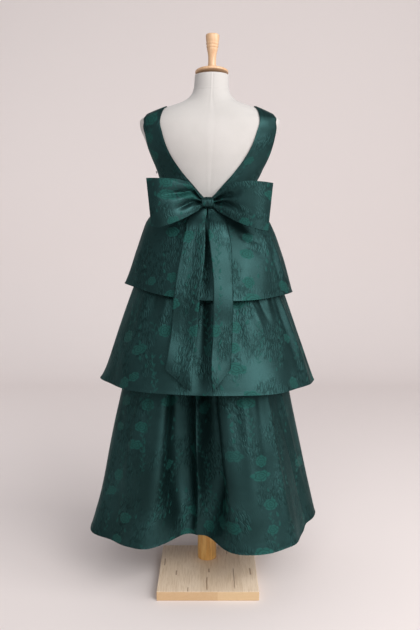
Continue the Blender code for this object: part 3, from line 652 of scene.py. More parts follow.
def weave_sprays(tree, flat):
    """Upright sprays: a thin stem that wanders, with slim leaves to the left and right in turn."""
    split = add_node(tree, "SeparateXYZ", Vector=shaken(tree, flat, 16.0, 0.010))
    across, down = split.outputs[0], split.outputs[1]
    sway = times(tree, math_of(tree, "SINE", times(tree, down, 52.0)), 0.006)
    columns = times(tree, plus(tree, across, sway), 1 / STEM_GAP)
    column = math_of(tree, "FLOOR", columns)
    from_stem = times(tree, minus(tree, math_of(tree, "FRACT", columns), 0.5), STEM_GAP)
    rows = plus(tree, times(tree, down, 1 / LEAF_STEP), times(tree, column, 3.7))
    row = math_of(tree, "FLOOR", rows)
    along = times(tree, minus(tree, math_of(tree, "FRACT", rows), 0.5), LEAF_STEP)
    parity = math_of(tree, "FRACT", times(tree, row, 0.5))
    side = minus(tree, times(tree, parity, 4.0), 1.0)
    out = minus(tree, times(tree, from_stem, side), LEAF_OUT)
    slim = minus(tree, times(tree, out, 0.80), times(tree, along, 0.60))
    long = plus(tree, times(tree, out, 0.60), times(tree, along, 0.80))
    slim = math_of(tree, "POWER", math_of(tree, "DIVIDE", slim, LEAF_HALF_WIDTH), 2.0)
    long = math_of(tree, "POWER", math_of(tree, "DIVIDE", long, LEAF_HALF_LENGTH), 2.0)
    leaf = inside_of(tree, plus(tree, slim, long), 1.0, 0.25)
    stem = line_at(tree, from_stem, 0.0, 0.0011)
    mark = add_node(tree, "CombineXYZ", X=times(tree, column, 0.31), Y=down).outputs[0]
    growing = patches_of(tree, mark, 7.5, 0.55, 0.59)
    return times(tree, larger(tree, leaf, stem), growing)


def weave_crinkles(tree, flat):
    """Matelasse: long narrow puffs, stitched down between, in patches. Gives the puffs and the patches."""
    place = stretched(tree, shaken(tree, flat, 75.0, 0.0085), (1.0, 0.24, 1.0))
    edges = add_node(tree, "TexVoronoi", {"voronoi_dimensions": "2D", "feature": "DISTANCE_TO_EDGE"},
                     Vector=place, Scale=CRINKLES_PER_METRE, Randomness=1.0).outputs["Distance"]
    puffs = ramp_between(tree, edges, 0.0, 0.34)
    patches = patches_of(tree, stretched(tree, flat, (1.0, 0.62, 1.0)), 14.0, 0.42, 0.60, 2.0)
    return puffs, patches


def paint_jacquard():
    finish, tree, shader = new_finish("green_jacquard", 0.45)
    flat = add_node(tree, "UVMap", {"uv_map": "cut"}).outputs[0]
    bloom, lines = weave_blooms(tree, flat)
    clear = minus(tree, 1.0, bloom)
    spray = times(tree, weave_sprays(tree, flat), clear)
    buds = times(tree, weave_buds(tree, flat), clear)
    leaf = larger(tree, buds, times(tree, spray, 0.7))
    puffs, patches = weave_crinkles(tree, flat)
    patches = times(tree, patches, minus(tree, 1.0, times(tree, bloom, 0.8)))
    broken = patches_of(tree, flat, 70.0, 0.42, 0.58)
    # Painted shade: where the matelasse is stitched down between puffs, the colour is darkened as the
    # creases' shade.
    stitched = times(tree, minus(tree, 1.0, puffs), patches)
    stitched = times(tree, stitched, broken)
    cloudy = patches_of(tree, flat, 8.0, 0.25, 0.75, 3.0)
    colour = blend_colours(tree, cloudy, GROUND_DEEP, GROUND_LIGHT)
    # The puffs are painted paler: partly their lighter face threads, partly a painted highlight on the
    # crests.
    crest_tone_and_highlight = times(tree, times(tree, puffs, patches), 0.32)
    colour = blend_colours(tree, crest_tone_and_highlight, colour, CRINKLE_CREST_AND_HIGHLIGHT)
    colour = blend_colours(tree, times(tree, leaf, 0.50), colour, LEAF)
    colour = blend_colours(tree, times(tree, bloom, 0.45), colour, BLOOM)
    dark = larger(tree, times(tree, stitched, 0.45), times(tree, lines, 0.42))
    colour = blend_colours(tree, dark, colour, FIGURE_LINES_AND_CRINKLE_SHADE)
    tree.links.new(colour, shader.inputs["Base Color"])
    figured = larger(tree, bloom, leaf)
    matt = larger(tree, figured, times(tree, patches, 0.5))
    tree.links.new(ramp_between(tree, matt, 0.0, 1.0, 0.45, 0.60), shader.inputs["Roughness"])
    tree.links.new(ramp_between(tree, figured, 0.0, 1.0, 0.82, 0.45), shader.inputs["Metallic"])
    shader.inputs["Specular IOR Level"].default_value = 0.28
    shader.inputs["Specular Tint"].default_value = (0.50, 0.60, 0.60, 1.0)

    # Threads: a fine two-way weave that only shows close by
    warp = add_node(tree, "TexWave", {"bands_direction": "X"}, Vector=flat, Scale=THREAD_SCALE).outputs["Fac"]
    weft = add_node(tree, "TexWave", {"bands_direction": "Y"}, Vector=flat, Scale=THREAD_SCALE).outputs["Fac"]
    weave = times(tree, warp, weft)
    relief = times(tree, times(tree, puffs, patches), 0.80)
    raised = times(tree, minus(tree, figured, times(tree, lines, 0.7)), 0.20)
    relief = plus(tree, plus(tree, relief, raised), times(tree, weave, 0.03))
    dent_surface(tree, shader, relief, 0.0008)
    return finish


jacquard = paint_jacquard()
Stand = namedtuple("Stand", "height off")
BODICE_STANDOFF = (
    Stand(1.085, 0.0061), Stand(1.120, 0.0043), Stand(1.175, 0.0033), Stand(1.225, 0.0045),
    Stand(1.270, 0.0032), Stand(1.310, 0.0032), Stand(1.344, 0.0035),
)
RIGHT_ARMHOLE = (
    Stand(1.085, 0.0), Stand(1.120, 0.0), Stand(1.165, 0.0060), Stand(1.220, 0.0075),
    Stand(1.262, 0.0050), Stand(1.300, 0.0), Stand(1.344, 0.0),
)
WAIST = 1.0850
BODICE_WALL = 0.0014
BODICE_LENGTH = 0.3
Edge = namedtuple("Edge", "along half_width height")
V_EDGE = (
    Edge(0.00, 0.0006, 1.0859), Edge(0.10, 0.0135, 1.096), Edge(0.22, 0.0400, 1.126),
    Edge(0.36, 0.0700, 1.160), Edge(0.58, 0.1070, 1.215), Edge(0.77, 0.1265, 1.265),
    Edge(0.90, 0.1335, 1.303), Edge(0.96, 0.1280, 1.327), Edge(1.00, 0.1200, 1.344),
)
NECK_EDGE = (
    Edge(0.00, 0.0, 1.0859), Edge(0.22, 0.0, 1.150), Edge(0.50, 0.0, 1.240), Edge(0.66, 0.0, 1.306),
    Edge(0.74, 0.0350, 1.309), Edge(0.84, 0.0760, 1.316), Edge(0.93, 0.1060, 1.329),
    Edge(1.00, 0.1200, 1.344),
)
ArmEdge = namedtuple("ArmEdge", "along turn height")
ARM_EDGE = (
    ArmEdge(0.00, 0.0, 1.0859), ArmEdge(0.20, 0.0, 1.133), ArmEdge(0.36, 0.0, 1.172),
    ArmEdge(0.43, 5.0, 1.184), ArmEdge(0.50, 9.5, 1.203), ArmEdge(0.60, 13.5, 1.228),
    ArmEdge(0.72, 17.5, 1.256), ArmEdge(0.84, 22.0, 1.283), ArmEdge(0.92, 24.5, 1.302),
    ArmEdge(0.97, 18.0, 1.316), ArmEdge(1.00, 0.0, 1.3230),
)


def smooth_step(start, end, value):
    t = np.clip((value - start) / (end - start), 0.0, 1.0)
    return t * t * (3 - 2 * t)


def cloth_panel(name, outer, cut, wall, node, parting=None):
    """One cut panel: a fine grid of points on its outer face, the same grid on the flat cut as its UV map,
    thickened inwards, standing for its CAD node. After the parting column the grid has a second half,
    joined to the first only where their points meet."""
    rows, columns = outer.shape[:2]
    corner = np.arange(rows * columns).reshape(rows, columns)
    quads = np.stack([corner[:-1, :-1], corner[1:, :-1], corner[1:, 1:], corner[:-1, 1:]], -1)
    if parting is not None:
        quads = np.delete(quads, parting, axis=1)
    panel = mesh_piece(name, outer, quads.reshape(-1, 4).tolist(), jacquard)
    layer = panel.data.uv_layers.new(name="cut")
    loops = np.zeros(len(panel.data.loops), int)
    panel.data.loops.foreach_get("vertex_index", loops)
    layer.data.foreach_set("uv", cut.reshape(-1, 2)[loops].astype(np.float32).ravel())
    if parting is not None:
        bpy.ops.object.mode_set(mode="EDIT")
        bpy.ops.mesh.select_all(action="SELECT")
        bpy.ops.mesh.remove_doubles(threshold=0.00002)
        bpy.ops.object.mode_set(mode="OBJECT")
    thicken = panel.modifiers.new("wall", "SOLIDIFY")
    thicken.thickness = wall
    thicken.offset = -1.0
    bpy.ops.object.modifier_apply(modifier="wall")
    settle(55)
    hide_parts(node)
    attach(panel, "root")


def grid_normals(points):
    """Outward normals of a grid whose rows run down and whose columns run anticlockwise."""
    down = np.gradient(points, axis=0)
    along = np.gradient(points, axis=1)
    normals = np.cross(down, along)
    return normals / np.maximum(np.linalg.norm(normals, axis=-1, keepdims=True), 1e-12)


def grid_lengths(points, axis):
    """Distance along the rows or columns of a grid, from its first one."""
    steps = np.linalg.norm(np.diff(points, axis=axis), axis=-1)
    first = np.zeros_like(np.take(steps, [0], axis=axis))
    return np.cumsum(np.concatenate([first, steps], axis=axis), axis=axis)


def bodice_half(inner_edge, middle_turn, side_turn, along, across):
    """Outer face of half a bodice: across is 0 at the middle edge and 1 at the side seam and armhole."""
    inner_height = read_curve(inner_edge, "height", "along", along)
    outer_height = read_curve(ARM_EDGE, "height", "along", along)
    inner_x = np.maximum(0.0, read_curve(inner_edge, "half_width", "along", along))
    half_width = read_curve(FORM_RINGS, "half_width", "height", inner_height)
    square = read_curve(FORM_RINGS, "square", "height", inner_height)
    inner_from_side = np.degrees(np.arccos(np.clip(inner_x / half_width, 0, 1) ** (square / 2)))
    outer_from_side = read_curve(ARM_EDGE, "turn", "along", along)
    from_side = inner_from_side + across * (outer_from_side - inner_from_side)
    height = inner_height + across * (outer_height - inner_height)
    turn = side_turn + from_side * (middle_turn - side_turn) / 90
    off = read_curve(BODICE_STANDOFF, "off", "height", height)
    if side_turn != 180.0:
        off = off + read_curve(RIGHT_ARMHOLE, "off", "height", height) * across**2
    off = off - 0.0007 * (bell(across, 1 / 22) + bell(1 - across, 1 / 22))
    off = off + 0.0005 * np.sin(height * 83 + turn * 0.11) * np.sin(turn * 0.21 + 1.3)
    return off_the_form(turn, height, off)


def build_bodice():
    rises = 1 - np.linspace(0, 1, 120) ** 1.8
    for name, node, side, order in (("back_bodice_left", "bodice_back_left", 180.0, 1),
                                    ("back_bodice_right", "bodice_back_right", 360.0, -1)):
        along, across = np.meshgrid(rises, np.linspace(0, 1, 66)[::-order], indexing="ij")
        face = bodice_half(V_EDGE, 270.0, side, along, across)
        cut = np.stack([grid_lengths(face, 1) + 0.4 + side * 0.001, BODICE_LENGTH * along + 0.7], -1)
        cloth_panel(name, face, cut, BODICE_WALL, node)
    along, across = np.meshgrid(rises, np.linspace(0, 1, 84), indexing="ij")
    right = bodice_half(NECK_EDGE, 90.0, 0.0, along, across[:, ::-1])
    left = bodice_half(NECK_EDGE, 90.0, 180.0, along, across)
    face = np.concatenate([right, left], axis=1)
    rise = np.concatenate([along, along], axis=1)
    cut = np.stack([grid_lengths(face, 1) + 1.3, BODICE_LENGTH * rise + 0.2], -1)
    cloth_panel("front_bodice", face, cut, BODICE_WALL, "bodice_front",
                parting=right.shape[1] - 1)


build_bodice()


# Skirt: three bells of the same jacquard, one over the other, all sewn into the waist seam. Each has
# a front and a back panel, the long one also a centre back seam. The cloth is stiff, so it stands in
# broad flutes, with dents where the tier above presses, and each hem is faced and hangs clear.
Section = namedtuple("Section", "height half_width front back aside")
Fold = namedtuple("Fold", "turn spread share growth flat", defaults=(2,))
Crease = namedtuple("Crease", "turn drop turn_to drop_to width rise")
Tier = namedtuple("Tier", "sections folds creases hem side_lift tilt")
Panel = namedtuple("Panel", "name node start end flat area")
TIER_WALL = 0.0013
SEAM_DEPTH = 0.0011
SEAM_WIDTH = 0.0028
HEM_DEPTH = 0.030
HEM_EDGE = 0.0070
HEM_ROUNDING = 0.0012
HEM_STITCH = 0.00035
SHORT_TIER = Tier(
    sections=(
        Section(WAIST, 0.1226, 0.0961, 0.0861, 0.003),
        Section(1.060, 0.1480, 0.1150, 0.1030, 0.003),
        Section(1.035, 0.1700, 0.1330, 0.1210, 0.003),
        Section(1.000, 0.1870, 0.1480, 0.1390, 0.004),
        Section(0.951, 0.2040, 0.1630, 0.1590, 0.005),
        Section(0.863, 0.2290, 0.1830, 0.1820, 0.005),
        Section(0.822, 0.2390, 0.1900, 0.1920, 0.004),
    ),
    folds=(
        Fold(184, 12, 0.035, 4.0), Fold(357, 12, 0.016, 3.0), Fold(215, 15, -0.020, 1.5),
        Fold(245, 16, 0.020, 1.5), Fold(296, 14, 0.025, 1.5), Fold(325, 13, -0.020, 1.5),
        Fold(40, 15, 0.025, 1.5), Fold(70, 14, -0.020, 1.5), Fold(108, 15, 0.022, 1.5),
        Fold(146, 14, -0.018, 1.5),
    ),
    creases=(
        Crease(221, 0.64, 236, 0.63, 0.010, -0.0022),
        Crease(224, 0.70, 238, 0.69, 0.008, 0.0016),
        Crease(214, 0.45, 230, 0.43, 0.009, -0.0016),
        Crease(296, 0.36, 314, 0.44, 0.009, -0.0026),
        Crease(300, 0.47, 316, 0.53, 0.008, -0.0018),
        Crease(318, 0.30, 326, 0.62, 0.010, 0.0024),
        Crease(333, 0.35, 341, 0.95, 0.012, 0.0030),
        Crease(328, 0.55, 332, 0.98, 0.010, -0.0024),
        Crease(338, 0.84, 344, 0.90, 0.006, -0.0030),
        Crease(251, 0.25, 249, 0.95, 0.014, 0.0020),
        Crease(266.5, 0.25, 265.5, 1.08, 0.018, -0.0120),
        Crease(205, 0.30, 203, 0.95, 0.020, 0.0010),
        Crease(60, 0.30, 56, 1.05, 0.016, -0.0045),
        Crease(86, 0.25, 90, 1.05, 0.017, 0.0035),
        Crease(118, 0.32, 124, 1.05, 0.015, -0.0040),
        Crease(74, 0.50, 96, 0.53, 0.010, -0.0024),
    ),
    hem=0.822, side_lift=0.020, tilt=-0.012,
)
MIDDLE_TIER = Tier(
    sections=(
        Section(WAIST, 0.1207, 0.0942, 0.0842, 0.003),
        Section(1.035, 0.1380, 0.1110, 0.1020, 0.003),
        Section(0.950, 0.1730, 0.1390, 0.1330, 0.003),
        Section(0.839, 0.2145, 0.1710, 0.1680, 0.002),
        Section(0.775, 0.2375, 0.1900, 0.1880, 0.0015),
        Section(0.667, 0.2745, 0.2190, 0.2180, 0.0015),
        Section(0.580, 0.3015, 0.2420, 0.2430, 0.0015),
    ),
    folds=(
        Fold(183, 12, 0.034, 16.0), Fold(2, 10, 0.022, 4.0), Fold(205, 13, -0.025, 1.5),
        Fold(232, 14, 0.020, 1.5), Fold(262, 15, -0.015, 1.5), Fold(302, 13, 0.035, 1.4),
        Fold(327, 11, -0.030, 1.6), Fold(30, 13, 0.028, 1.5), Fold(58, 13, -0.025, 1.5),
        Fold(88, 15, 0.026, 1.5), Fold(122, 14, -0.025, 1.5), Fold(150, 13, 0.026, 1.5),
    ),
    creases=(
        Crease(231, 0.44, 230, 0.62, 0.014, -0.0060),
        Crease(241, 0.46, 239, 0.72, 0.013, 0.0040),
        Crease(220, 0.46, 221, 0.70, 0.016, 0.0035),
        Crease(297, 0.44, 306, 0.71, 0.012, 0.0060),
        Crease(289, 0.46, 292, 0.60, 0.011, -0.0035),
        Crease(306, 0.44, 314, 0.65, 0.010, -0.0052),
        Crease(316, 0.45, 317, 0.58, 0.009, 0.0020),
        Crease(322, 0.45, 323, 0.60, 0.009, -0.0022),
        Crease(288, 0.46, 291, 0.82, 0.014, -0.0050),
        Crease(334, 0.50, 343, 0.99, 0.014, 0.0042),
        Crease(328, 0.52, 336, 0.99, 0.013, -0.0036),
        Crease(349, 0.55, 352, 0.99, 0.012, -0.0030),
        Crease(205, 0.55, 200, 0.99, 0.024, 0.0012),
        Crease(267, 0.42, 264.8, 1.04, 0.022, -0.0180),
        Crease(29, 0.42, 34, 1.05, 0.017, 0.0045),
        Crease(64, 0.42, 57, 1.02, 0.018, -0.0070),
        Crease(87, 0.40, 92, 0.98, 0.018, 0.0050),
        Crease(116, 0.42, 122, 1.04, 0.017, -0.0065),
        Crease(149, 0.42, 145, 1.04, 0.016, 0.0045),
    ),
    hem=0.580, side_lift=-0.004, tilt=-0.004,
)
LONG_TIER = Tier(
    sections=(
        Section(WAIST, 0.1188, 0.0923, 0.0823, 0.003),
        Section(1.035, 0.1300, 0.1040, 0.0950, 0.003),
        Section(0.860, 0.1750, 0.1400, 0.1380, 0.002),
        Section(0.700, 0.2135, 0.1690, 0.1670, -0.0015),
        Section(0.532, 0.2465, 0.1950, 0.1950, -0.005),
        Section(0.400, 0.2740, 0.2160, 0.2180, -0.006),
        Section(0.250, 0.3055, 0.2420, 0.2440, -0.0055),
        Section(0.155, 0.3300, 0.2600, 0.2620, -0.009),
    ),
    folds=(
        Fold(201, 10, 0.030, 2.5), Fold(217, 8, -0.030, 1.6), Fold(262.5, 16, -0.420, 1.2, 4),
        Fold(297, 16, 0.150, 1.5), Fold(314, 8, 0.052, 2.0), Fold(341, 11, -0.055, 1.7),
        Fold(5, 10, 0.020, 2.0), Fold(28, 14, 0.060, 1.5), Fold(58, 14, -0.100, 1.6),
        Fold(88, 15, 0.080, 1.5), Fold(118, 14, -0.090, 1.6), Fold(148, 14, 0.060, 1.5),
        Fold(172, 10, -0.040, 1.5),
    ),
    creases=(
        Crease(251, 0.47, 254.5, 0.98, 0.026, -0.0560),
        Crease(270, 0.47, 273.5, 0.98, 0.022, -0.0640),
        Crease(257.5, 0.48, 260, 1.00, 0.017, -0.0220),
        Crease(263, 0.50, 263, 1.02, 0.009, 0.0060),
        Crease(243, 0.54, 244, 0.86, 0.018, 0.0060),
        Crease(230, 0.53, 231, 0.72, 0.012, -0.0050),
        Crease(222, 0.55, 220, 0.90, 0.014, 0.0040),
        Crease(288, 0.53, 288, 0.70, 0.012, -0.0040),
        Crease(294, 0.54, 294, 0.92, 0.016, 0.0070),
        Crease(305, 0.53, 303, 0.82, 0.012, -0.0040),
        Crease(312, 0.55, 311, 0.99, 0.010, 0.0060),
        Crease(324, 0.60, 344, 0.99, 0.012, -0.0075),
        Crease(331, 0.56, 349, 0.92, 0.012, 0.0045),
        Crease(205, 0.56, 207, 0.98, 0.020, -0.0016),
        Crease(190, 0.60, 188, 0.98, 0.020, 0.0016),
        Crease(30, 0.48, 35, 1.05, 0.020, 0.0065),
        Crease(52, 0.46, 58, 1.04, 0.020, -0.0100),
        Crease(86, 0.48, 91, 1.04, 0.022, 0.0070),
        Crease(112, 0.46, 118, 1.04, 0.020, -0.0095),
        Crease(146, 0.48, 151, 1.05, 0.020, 0.0060),
    ),
    hem=0.163, side_lift=-0.009, tilt=0.008,
)


def hem_height(tier, turn):
    side = np.cos(np.radians(turn))
    return tier.hem + tier.side_lift * side**2 + tier.tilt * side


def tier_skin(tier, turn, height):
    """Points on a tier's outer face. Its folds start at the waist seam and grow down to the hem."""
    drop = np.clip((WAIST - height) / (WAIST - hem_height(tier, turn)), 0, 1)
    swell = np.ones_like(turn)
    for fold in tier.folds:
        away = np.abs(turn_gap(turn, fold.turn) / fold.spread)
        swell += fold.share * np.exp(-(away**fold.flat)) * drop**fold.growth
    sizes = [read_curve(tier.sections, column, "height", height) for column in Section._fields[1:4]]
    x, y = oval(turn, *sizes, 2.0)
    aside = read_curve(tier.sections, "aside", "height", height)
    return np.stack([x * swell + aside, y * swell, height], -1)


def crease_rise(tier, turn, drop):
    """How far the creases lift the cloth: each is a soft ridge or trough along a line on the tier, that
    widens on its way down and fades out at both ends."""
    slant = (WAIST - tier.hem) * 1.06
    rise = np.zeros_like(turn)
    for crease in tier.creases:
        height = WAIST - (crease.drop + crease.drop_to) / 2 * (WAIST - tier.hem)
        radius = float(read_curve(tier.sections, "half_width", "height", height)) * 0.9
        x = np.radians(turn_gap(turn, crease.turn)) * radius
        y = (drop - crease.drop) * slant
        to_x = math.radians(crease.turn_to - crease.turn) * radius
        to_y = (crease.drop_to - crease.drop) * slant
        length = math.hypot(to_x, to_y)
        share = (x * to_x + y * to_y) / length**2
        away = (x * to_y - y * to_x) / length
        width = crease.width * (0.75 + 0.45 * np.clip(share, 0, 1))
        strength = smooth_step(-0.14, 0.22, share) * smooth_step(1.16, 0.66, share)
        rise += crease.rise * strength * bell(away, width)
    return rise


def wander(turn, drop, seed):
    """Slow uneven swells of a few tenths of a millimetre to a millimetre, the same on every run."""
    chance = np.random.default_rng(seed)
    total = np.zeros_like(turn)
    for _ in range(14):
        round_way, down_way = chance.uniform(0.05, 0.42), chance.uniform(2.0, 16.0)
        phase, size = chance.uniform(0, 6.28), chance.uniform(0.3, 1.0)
        total += size * np.sin(turn * round_way + drop * down_way * chance.choice([-1, 1]) + phase)
    return total * 0.00016


def tier_face(tier, turn, drop, seams, seed):
    """Outer face of a tier's panel, with its creases, its hem's soft edge and its seams drawn in."""
    top = WAIST - 0.0004
    height = top + drop * (hem_height(tier, turn) - top)
    face = tier_skin(tier, turn, height)
    rise = (crease_rise(tier, turn, drop) + wander(turn, drop, seed)) * smooth_step(0.10, 0.42, drop)
    radius = np.hypot(face[..., 0], face[..., 1])
    for seam in seams:
        away = np.radians(turn_gap(turn, seam)) * radius
        rise = rise - SEAM_DEPTH * bell(away, SEAM_WIDTH) * smooth_step(0.0, 0.1, drop)
    length = (1 - drop) * (WAIST - tier.hem)
    rise = rise + HEM_ROUNDING * smooth_step(HEM_EDGE, 0.0, length)
    rise = rise - HEM_STITCH * bell(length - HEM_DEPTH, 0.002)
    return face + rise[..., None] * grid_normals(face)


def flat_cut(face):
    """Where each point lies on the flat cut, a piece of a ring: metres across and down the cloth."""
    middle = face.shape[1] // 2
    down = grid_lengths(face, 0)[:, middle]
    waist, hem = grid_lengths(face, 1)[0, -1], grid_lengths(face, 1)[-1, -1]
    inner = down[-1] * waist / (hem - waist)
    share = grid_lengths(face, 1)
    share = share / share[:, -1:] - 0.5
    fan = share * hem / (inner + down[-1])
    reach = inner + down[:, None]
    return np.stack([reach * np.sin(fan), -reach * np.cos(fan)], -1)


def rows_down(tier_hidden, step, length):
    """Rows close together where the tier shows, further apart where the tier above covers it."""
    upper = np.linspace(0, tier_hidden, max(4, int(tier_hidden * length / 0.012)))
    lower = np.linspace(tier_hidden, 1.0, int((1 - tier_hidden) * length / step))
    return np.concatenate([upper, lower[1:]])


def build_tier(tier, panels, hidden, step, seams, seed):
    length = (WAIST - tier.hem) * 1.08
    for name, node, start, end, flat, area in panels:
        arc = math.radians(end - start) * 0.9 * tier.sections[-1].half_width
        turns = np.linspace(start, end, int(arc / step))
        drop, turn = np.meshgrid(rows_down(hidden, step, length), turns, indexing="ij")
        face = tier_face(tier, turn, drop, seams, seed)
        cut = flat_cut(face) + np.array([start * 0.0137 + seed * 0.31, seed * 0.47])
        cloth_panel(name, face, cut, TIER_WALL, node)


build_tier(
    SHORT_TIER,
    (Panel("short_tier_front", "tier_1_front", 0, 180, (0.70, 0.30), 0.150),
     Panel("short_tier_back", "tier_1_back", 180, 360, (0.70, 0.30), 0.150)),
    hidden=0.05, step=0.0042, seams=(0.0, 180.0), seed=3,
)
build_tier(
    MIDDLE_TIER,
    (Panel("middle_tier_front", "tier_2_front", 0, 180, (0.90, 0.56), 0.345),
     Panel("middle_tier_back", "tier_2_back", 180, 360, (0.90, 0.56), 0.345)),
    hidden=0.42, step=0.0048, seams=(0.0, 180.0), seed=5,
)
build_tier(
    LONG_TIER,
    (Panel("long_tier_front", "tier_3_front", 0, 180, (1.04, 0.99), 0.68),
     Panel("long_tier_back_left", "tier_3_back_left", 180, 262, (0.46, 0.99), 0.31),
     Panel("long_tier_back_right", "tier_3_back_right", 262, 360, (0.56, 0.99), 0.37)),
    hidden=0.48, step=0.0052, seams=(0.0, 180.0, 262.0), seed=8,
)


# Bow: two stiff bands of the jacquard, each folded over at its outer end and pleated into the knot, a
# third short band round the middle, and two long ends cut on a slant that hang over the tiers. All
# are double cloth, pressed flat at the edges, and stitched down at the back waist.
KNOT_MIDDLE = (0.003, -0.1161, 1.0765)
Loop = namedtuple("Loop", "out top bottom front back")
LOOP_RIGHT = (
    Loop(0.0100, 1.0881, 1.0649, 0.0096, 0.0096),
    Loop(0.0165, 1.0886, 1.0642, 0.0108, 0.0090),
    Loop(0.0260, 1.0980, 1.0550, 0.0150, 0.0060),
    Loop(0.0450, 1.1170, 1.0440, 0.0260, 0.0020),
    Loop(0.0750, 1.1280, 1.0280, 0.0390, -0.0010),
    Loop(0.1100, 1.1310, 1.0140, 0.0440, -0.0040),
    Loop(0.1465, 1.1290, 1.0050, 0.0380, -0.0080),
    Loop(0.1675, 1.1270, 1.0030, 0.0230, -0.0190),
)
LOOP_LEFT = (
    Loop(0.0100, 1.0881, 1.0649, 0.0096, 0.0096),
    Loop(0.0165, 1.0886, 1.0642, 0.0108, 0.0090),
    Loop(0.0250, 1.0980, 1.0560, 0.0150, 0.0060),
    Loop(0.0400, 1.1190, 1.0470, 0.0260, 0.0020),
    Loop(0.0720, 1.1330, 1.0310, 0.0390, -0.0010),
    Loop(0.1040, 1.1370, 1.0190, 0.0440, -0.0040),
    Loop(0.1360, 1.1390, 1.0110, 0.0380, -0.0080),
    Loop(0.1570, 1.1400, 1.0150, 0.0230, -0.0190),
)
Pleat = namedtuple("Pleat", "start middle end reach spread depth")
PLEATS_LEFT = (
    Pleat(0.80, 0.46, 0.24, 0.88, 0.19, 0.0165),
    Pleat(0.12, -0.20, -0.40, 0.58, 0.20, 0.0165),
)
PLEATS_RIGHT = (
    Pleat(0.66, 0.36, 0.50, 0.52, 0.19, 0.0165),
    Pleat(-0.02, -0.18, -0.50, 0.56, 0.19, 0.0165),
)
TOP_DIPS = {-1: 0.0070, 1: 0.0015}
LOOP_WALL = 0.0014
LOOP_BAND = 0.13
KNOT_WALL = 0.0013
KNOT_HALF_WIDTH = 0.0150
KNOT_HALF_DEPTH = 0.0200
KNOT_HALF_HEIGHT = 0.0155


def loop_face(table, pleats, way, reach, across, on_front):
    out = table[0].out + (table[-1].out - table[0].out) * reach
    top = read_curve(table, "top", "out", out)
    bottom = read_curve(table, "bottom", "out", out)
    span = 2 * across - 1
    dent = np.zeros_like(reach)
    for pleat in pleats:
        share = np.clip(reach / pleat.reach, 0, 1)
        bend = 2 * (pleat.start + pleat.end - 2 * pleat.middle)
        line = pleat.start + (pleat.end - pleat.start - bend) * share + bend * share**2
        strength = smooth_step(0.0, 0.16, share) * (1 - smooth_step(0.42, 1.0, share))
        dent += pleat.depth * strength * np.exp(-(np.abs((span - line) / pleat.spread) ** 1.6))
    crown = 0.0022 * np.sin(math.pi * reach) * (1 - span**2)
    front_y = KNOT_MIDDLE[1] - read_curve(table, "front", "out", out) + dent - crown
    back_y = KNOT_MIDDLE[1] + read_curve(table, "back", "out", out)
    y = np.where(on_front, front_y, back_y)
    dip = TOP_DIPS[way] * bell(reach - 0.40, 0.17)
    top = np.where(on_front, top - dip, top + 0.004 * np.sin(math.pi * reach))
    slant = 0.012 * (across - 0.6) * reach**2
    return np.stack([KNOT_MIDDLE[0] + way * (out + slant), y, bottom + across * (top - bottom)], -1)


def build_loop(name, node, table, pleats, way, shift):
    steps = 1 - (1 - np.linspace(0, 1, 96)) ** 1.35
    reach = np.concatenate([steps, steps[-2::-1]])
    on_front = np.arange(len(reach)) < len(steps)
    across = np.linspace(1, 0, 60)
    rise, place = np.meshgrid(across, np.arange(len(reach)), indexing="ij")
    face = loop_face(table, pleats, way, reach[place], rise, on_front[place])
    cut = np.stack([grid_lengths(face, 1) + shift, rise * LOOP_BAND + shift * 2], -1)
    if way < 0:
        face, cut = face[:, ::-1], cut[:, ::-1]
    cloth_panel(name, face, cut, LOOP_WALL, node)


def build_knot():
    side, turn = np.meshgrid(np.linspace(1, -1, 33), np.linspace(0, 360, 121), indexing="ij")
    y, z = oval(turn, KNOT_HALF_DEPTH, KNOT_HALF_HEIGHT, KNOT_HALF_HEIGHT, 2.4)
    barrel = 1.0 - 0.07 * side**2
    lean = side + 0.38 * np.sin(np.radians(turn) + 0.3)
    barrel = barrel - 0.035 * bell(lean - 0.46, 0.18) - 0.028 * bell(lean + 0.30, 0.17)

    # The ends of the band are drawn in behind the loops
    drawn_in = np.clip((y / KNOT_HALF_DEPTH - 0.45) / 0.55, 0, 1) * side**6
    barrel = barrel - 0.40 * drawn_in
    narrow = 1 - 0.24 * np.abs(np.sin(np.radians(turn))) ** 3
    x = side * KNOT_HALF_WIDTH * narrow
    face = np.stack([x, y * barrel, z * barrel], -1) + np.array(KNOT_MIDDLE)
    cut = np.stack([grid_lengths(face, 0), grid_lengths(face, 1) + 0.9], -1)
    cloth_panel("bow_middle", face, cut, KNOT_WALL, "bow_knot")


build_loop("bow_left", "bow_loop_left", LOOP_LEFT, PLEATS_LEFT, -1, 0.23)
build_loop("bow_right", "bow_loop_right", LOOP_RIGHT, PLEATS_RIGHT, 1, 0.61)
build_knot()


# Bow tails: long double bands, stitched up under the knot, lying on the short tier, over its hem and
# on down the middle tier. Each springs out in a small roll at its top, and its edges are turned in.
Tail = namedtuple("Tail", "height left right")
TAIL_LEFT = (
    Tail(1.0603, -0.0110, 0.0010), Tail(1.0480, -0.0330, 0.0000), Tail(1.0300, -0.0510, -0.0020),
    Tail(1.0000, -0.0580, -0.0025), Tail(0.9400, -0.0696, -0.0042), Tail(0.8600, -0.0826, -0.0135),
    Tail(0.7970, -0.0896, -0.0195), Tail(0.7300, -0.0950, -0.0250), Tail(0.6700, -0.1050, -0.0345),
    Tail(0.5900, -0.1200, -0.0386),
)
TAIL_RIGHT = (
    Tail(1.0603, 0.0050, 0.0170), Tail(1.0480, 0.0045, 0.0380), Tail(1.0300, 0.0040, 0.0520),
    Tail(1.0000, 0.0045, 0.0595), Tail(0.9650, 0.0075, 0.0655), Tail(0.9170, 0.0129, 0.0676),
    Tail(0.8610, 0.0168, 0.0692), Tail(0.8050, 0.0165, 0.0696), Tail(0.7300, 0.0147, 0.0672),
    Tail(0.6450, 0.0111, 0.0627), Tail(0.5940, 0.0147, 0.0600),
)
